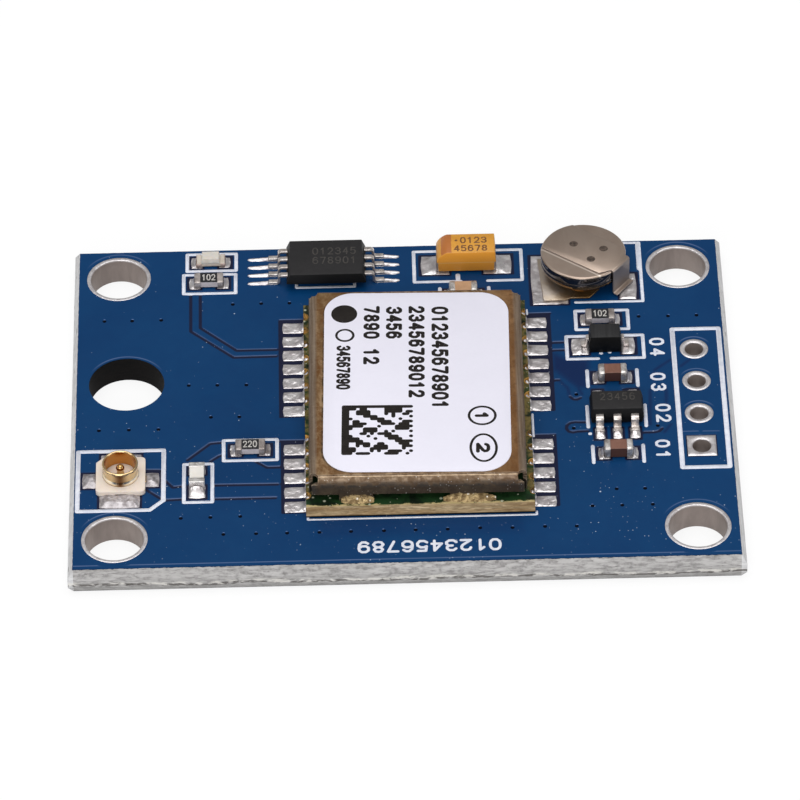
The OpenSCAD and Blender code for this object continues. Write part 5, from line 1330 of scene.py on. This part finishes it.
def makePackages():
    for name, finish, node in (("memory", "blackMould", "memory_chip_body"),
                               ("diode", "diodeMould", "charge_diode_body"),
                               ("regulator", "blackMould", "regulator_body")):
        addPiece(name + "_case", mouldedBody(**packageSet[name]), finish, (node,))
    line = ([(2.05, 2.23), (2.46, 2.23)] + arc(2.46, 2.07, 0.16, 90, 0, 6)
            + [(2.635, 1.86)] + arc(2.765, 1.85, 0.13, 180, 270, 5) + [(3.2, 1.72)])
    bm = bmesh.new()
    for side in (0, 180):
        for spot in memoryLeads:
            setDown(bm, bentStrip(line, 0.13, -0.14, 0.14, 0.01), spot, side)
    addPiece("memory_pins", bm, "tinnedLead", ("memory_chip_leads",))
    line = ([(0.7, 2.29), (0.93, 2.29)] + arc(0.93, 2.15, 0.14, 90, 0, 6)
            + [(1.09, 1.9)] + arc(1.23, 1.88, 0.14, 180, 270, 5) + [(1.48, 1.735)])
    bm = bmesh.new()
    for turn, spots in regulatorLeads.items():
        for spot in spots:
            setDown(bm, bentStrip(line, 0.15, -0.21, 0.21, 0.01), spot, turn)
    addPiece("regulator_pins", bm, "tinnedLead", ("regulator_leads",))
    # Tantalum case: side view pulled to the case's width, then narrowed towards its top and foot
    x, y, half, low, mid, top = 3.78, 10.88, 1.65, 1.75, 2.39, 3.13
    bevel = []
    for k in range(11):
        t = math.radians(9 * k)
        bevel.append((-half + 0.03 + 0.57 * (1 - (0.5 * math.cos(t) + 0.5 * (1 - k / 10))),
                      top - 0.6 + 0.6 * (0.5 * math.sin(t) + 0.5 * k / 10)))
    outline = [(-half + 0.1, low), (half - 0.1, low), (half - 0.08, mid - 0.01), (half, mid), (half - 0.06, top)]
    outline += bevel[::-1] + [(-half, mid), (-half + 0.08, mid - 0.01)]
    case = pulled(outline, -0.8, 0.8, False, 0.035)
    for v in case.verts:
        z = v.co.z / mm
        v.co.y *= 1 - 0.04 * max(0.0, z - mid) / (top - mid) - 0.03 * (z < mid - 0.005)
    bm = bmesh.new()
    setDown(bm, case, (x, y), 0)
    addPiece("tantalum_case", bm, "ochreResin", ("tantalum_capacitor_body",), sharp=30)


makePackages()

# Chip ends: rounded outside, square where they meet the body
endSet = {"band": 0.33, "low": 1.65}
capacitorEnds = {kind: (0.11, "chipCap") for kind in ("receiver_capacitor", "input_capacitor", "output_capacitor")}
resistorEnds = {kind: (0.06, "resistorCap") for kind in ("led_resistor", "antenna_resistor", "charge_resistor")}
for name, (soft, finish) in {**capacitorEnds, **resistorEnds}.items():
    where, kind = name.split("_")
    part = chipParts[where + kind.capitalize()]
    bm = bmesh.new()
    for turn in (0, 180):
        end = block(endSet["band"], part["w"], part["t"])
        middle = (part["l"] - endSet["band"]) / 2
        bmesh.ops.translate(end, vec=place(middle, 0, endSet["low"] + part["t"] / 2), verts=end.verts)
        outer = [e for e in end.edges if max(v.co.x for v in e.verts) > middle * mm]
        soften(end, outer, soft, 4, clamp_overlap=True)
        setDown(bm, end, part["at"], turn)
    addPiece(name + "_ends", bm, finish, (name + "_caps",), sharp=50)
print("stage: packages")

# Solder at the can's feet: lumpy beads along the front and back walls
bm = bmesh.new()
for k, (x, side, reachX) in enumerate(((-3.22, -1, 0.88), (2.74, -1, 1.4), (-3.3, 1, 0.92), (2.6, 1, 0.92))):
    part = bmesh.new()
    bmesh.ops.create_grid(part, x_segments=26, y_segments=10, size=0.5)
    for v in part.verts:
        u, t = v.co.x * 2, v.co.y + 0.5
        lump = noise.noise(Vector((u * 4, t * 2, k * 9.1))) + 0.6 * noise.noise(Vector((u * 11, t * 6, k)))
        reach = 0.27 * (1 - 0.5 * u ** 4) + 0.05 * lump
        rise = (0.4 + 0.12 * lump) * (1 - 0.6 * u ** 4)
        out = reach * (1 - t) ** 1.6
        v.co = Vector((x + u * reachX, side * (7.4 + max(0.0, out)), 2.452 + max(0.0, rise) * t ** 1.4))
    bmesh.ops.scale(part, vec=(mm, mm, mm), verts=part.verts)
    settle(part, canSet["at"], canSet["turn"])
    bmesh.ops.recalc_face_normals(part, faces=part.faces)
    if sum(f.normal.z for f in part.faces) < 0:
        bmesh.ops.reverse_faces(part, faces=part.faces)
    joinInto(bm, part)
addPiece("can_foot_solder", bm, "footSolder", ("shield_solder",), sharp=70)
print("stage: can feet")

# Plain digits on the resistors, the tantalum case and the packages
# Levels are foot, top and softness; rows are text, start, height, width, step and line
digitSets = {
    "resistor_digits": dict(finish="markWhite", slot="white_print", levels=(2.089, 2.094, 0.004), rows=[
        (value, (chipParts[name]["at"][0] - 0.36, chipParts[name]["at"][1] - 0.22), 0.44, 0.17, 0.265, 0.065)
        for name, value in (("ledResistor", "102"), ("antennaResistor", "220"), ("chargeResistor", "102"))]),
    "tantalum_digits": dict(finish="markBrown", slot="ochre_mould", levels=(3.129, 3.134, 0.004), rows=[
        ("0123", (3.5, 10.92), 0.42, 0.24, 0.385, 0.09), ("45678", (3.14, 10.26), 0.42, 0.24, 0.385, 0.09)],
        dots=[((3.24, 11.12), 0.16)]),
    "package_digits": dict(finish="faintMark", slot="black_mould", levels=(2.6995, 2.7015, 0.002), rows=[
        ("012345", (-4.72, 10.72), 0.5, 0.26, 0.42, 0.07), ("678901", (-4.72, 9.96), 0.5, 0.26, 0.42, 0.07),
        ("23456", (10.7, -1.5), 0.5, 0.24, 0.4, 0.06)]),
}
for name, marks in digitSets.items():
    bm = bmesh.new()
    for value, start, *size in marks["rows"]:
        writeLine(bm, value, start, (1, 0), (0, 1), *size, *marks["levels"])
    for dot, width in marks.get("dots", []):
        strokes(bm, [dot], width, *marks["levels"])
    addPiece(name, bm, marks["finish"], sharp=60)
print("stage: digits")

# Finishes of the CAD nodes that stay
nodeFinish = {
    "circuit_board": "boardCore", "receiver_carrier": "carrierBoard", "receiver_castellations": "halfHoleGold",
    "shield_can": "tarnishedCan", "positioning_chip": "blackMould", "main_crystal": "crystalLid",
    "clock_crystal": "crystalLid", "band_filter": "tanCeramic", "receiver_passives": "resinPart",
    "antenna_socket_base": "creamMould", "led_base": "ledBase", "led_lens": "ledLens", "led_terminals": "ledEnd",
    "led_resistor_body": "whiteCeramic", "led_resistor_coat": "blackCoat",
    "antenna_resistor_body": "whiteCeramic", "antenna_resistor_coat": "blackCoat",
    "charge_resistor_body": "whiteCeramic", "charge_resistor_coat": "blackCoat",
    "receiver_capacitor_body": "tanCeramic",
    "input_capacitor_body": "brownCeramic",
    "output_capacitor_body": "brownCeramic",
    "antenna_inductor_body": "inductorCeramic", "antenna_inductor_caps": "chipCap",
    "tantalum_capacitor_terminals": "tinnedLead",
    "backup_cell_cap": "cellSteel", "backup_cell_gasket": "gasketRubber",
    "charge_diode_leads": "tinnedLead",
}
for name, finish in nodeFinish.items():
    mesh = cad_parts[name].data
    mesh.materials.clear()
    mesh.materials.append(finishes[finish])
print("stage: node finishes")

# Floor: white to the camera and to reflections, with the board's own soft shadow
floorSet = {"size": 6.0, "white": 0.86, "paper": 0.14}


def makeFloor():
    material = bpy.data.materials.new("paperFloor")
    material.use_nodes = True
    tree = material.node_tree
    tree.nodes.clear()
    path = put(tree, "ShaderNodeLightPath")
    seen = calc(tree, "MAXIMUM", calc(tree, "MAXIMUM", path.outputs["Is Camera Ray"], path.outputs["Is Glossy Ray"]),
                path.outputs["Is Transmission Ray"])
    plain = put(tree, "ShaderNodeBsdfDiffuse", {"Color": (0.8, 0.8, 0.8, 1)})
    thin = put(tree, "ShaderNodeBsdfDiffuse", {"Color": (floorSet["paper"],) * 3 + (1,)})
    glow = put(tree, "ShaderNodeEmission", {"Color": (1, 1, 1, 1), "Strength": floorSet["white"]})
    both = put(tree, "ShaderNodeAddShader", {0: thin.outputs[0], 1: glow.outputs[0]})
    mix = put(tree, "ShaderNodeMixShader", {0: seen, 1: plain.outputs[0], 2: both.outputs[0]})
    out = put(tree, "ShaderNodeOutputMaterial")
    tree.links.new(mix.outputs[0], out.inputs["Surface"])
    bm = bmesh.new()
    bmesh.ops.create_grid(bm, x_segments=2, y_segments=2, size=floorSet["size"] / 2)
    bmesh.ops.translate(bm, vec=(0, 0, -0.02 * mm), verts=bm.verts)
    mesh = bpy.data.meshes.new("paper_floor")
    bm.to_mesh(mesh)
    bm.free()
    mesh.materials.append(material)
    floor = bpy.data.objects.new("paper_floor", mesh)
    scene.collection.objects.link(floor)


makeFloor()

# Light: dim grey surround, a wide soft box overhead, a weak fill from the front and a small box at each side
lightSet = {"surround": 0.28, "boxes": [
    ("overhead_box", (0.0, 0.02, 0.5), 0.5, 1.75), ("front_fill", (-0.1, -0.6, 0.35), 0.4, 1.9),
    ("left_box", (-0.5, -0.2, 0.16), 0.25, 0.5), ("right_box", (0.5, -0.2, 0.16), 0.25, 0.5)]}
world = bpy.data.worlds.new("studio")
scene.world = world
world.use_nodes = True
fill(world.node_tree, world.node_tree.nodes["Background"], {"Color": (1, 1, 1, 1), "Strength": lightSet["surround"]})
for name, spot, size, power in lightSet["boxes"]:
    data = bpy.data.lights.new(name, "AREA")
    data.shape = "SQUARE"
    data.size = size
    data.energy = power
    lamp = bpy.data.objects.new(name, data)
    lamp.location = spot
    lamp.rotation_euler = (Vector((0, 0, 0)) - Vector(spot)).to_track_quat("-Z", "Y").to_euler()
    scene.collection.objects.link(lamp)
print("stage: floor and light")
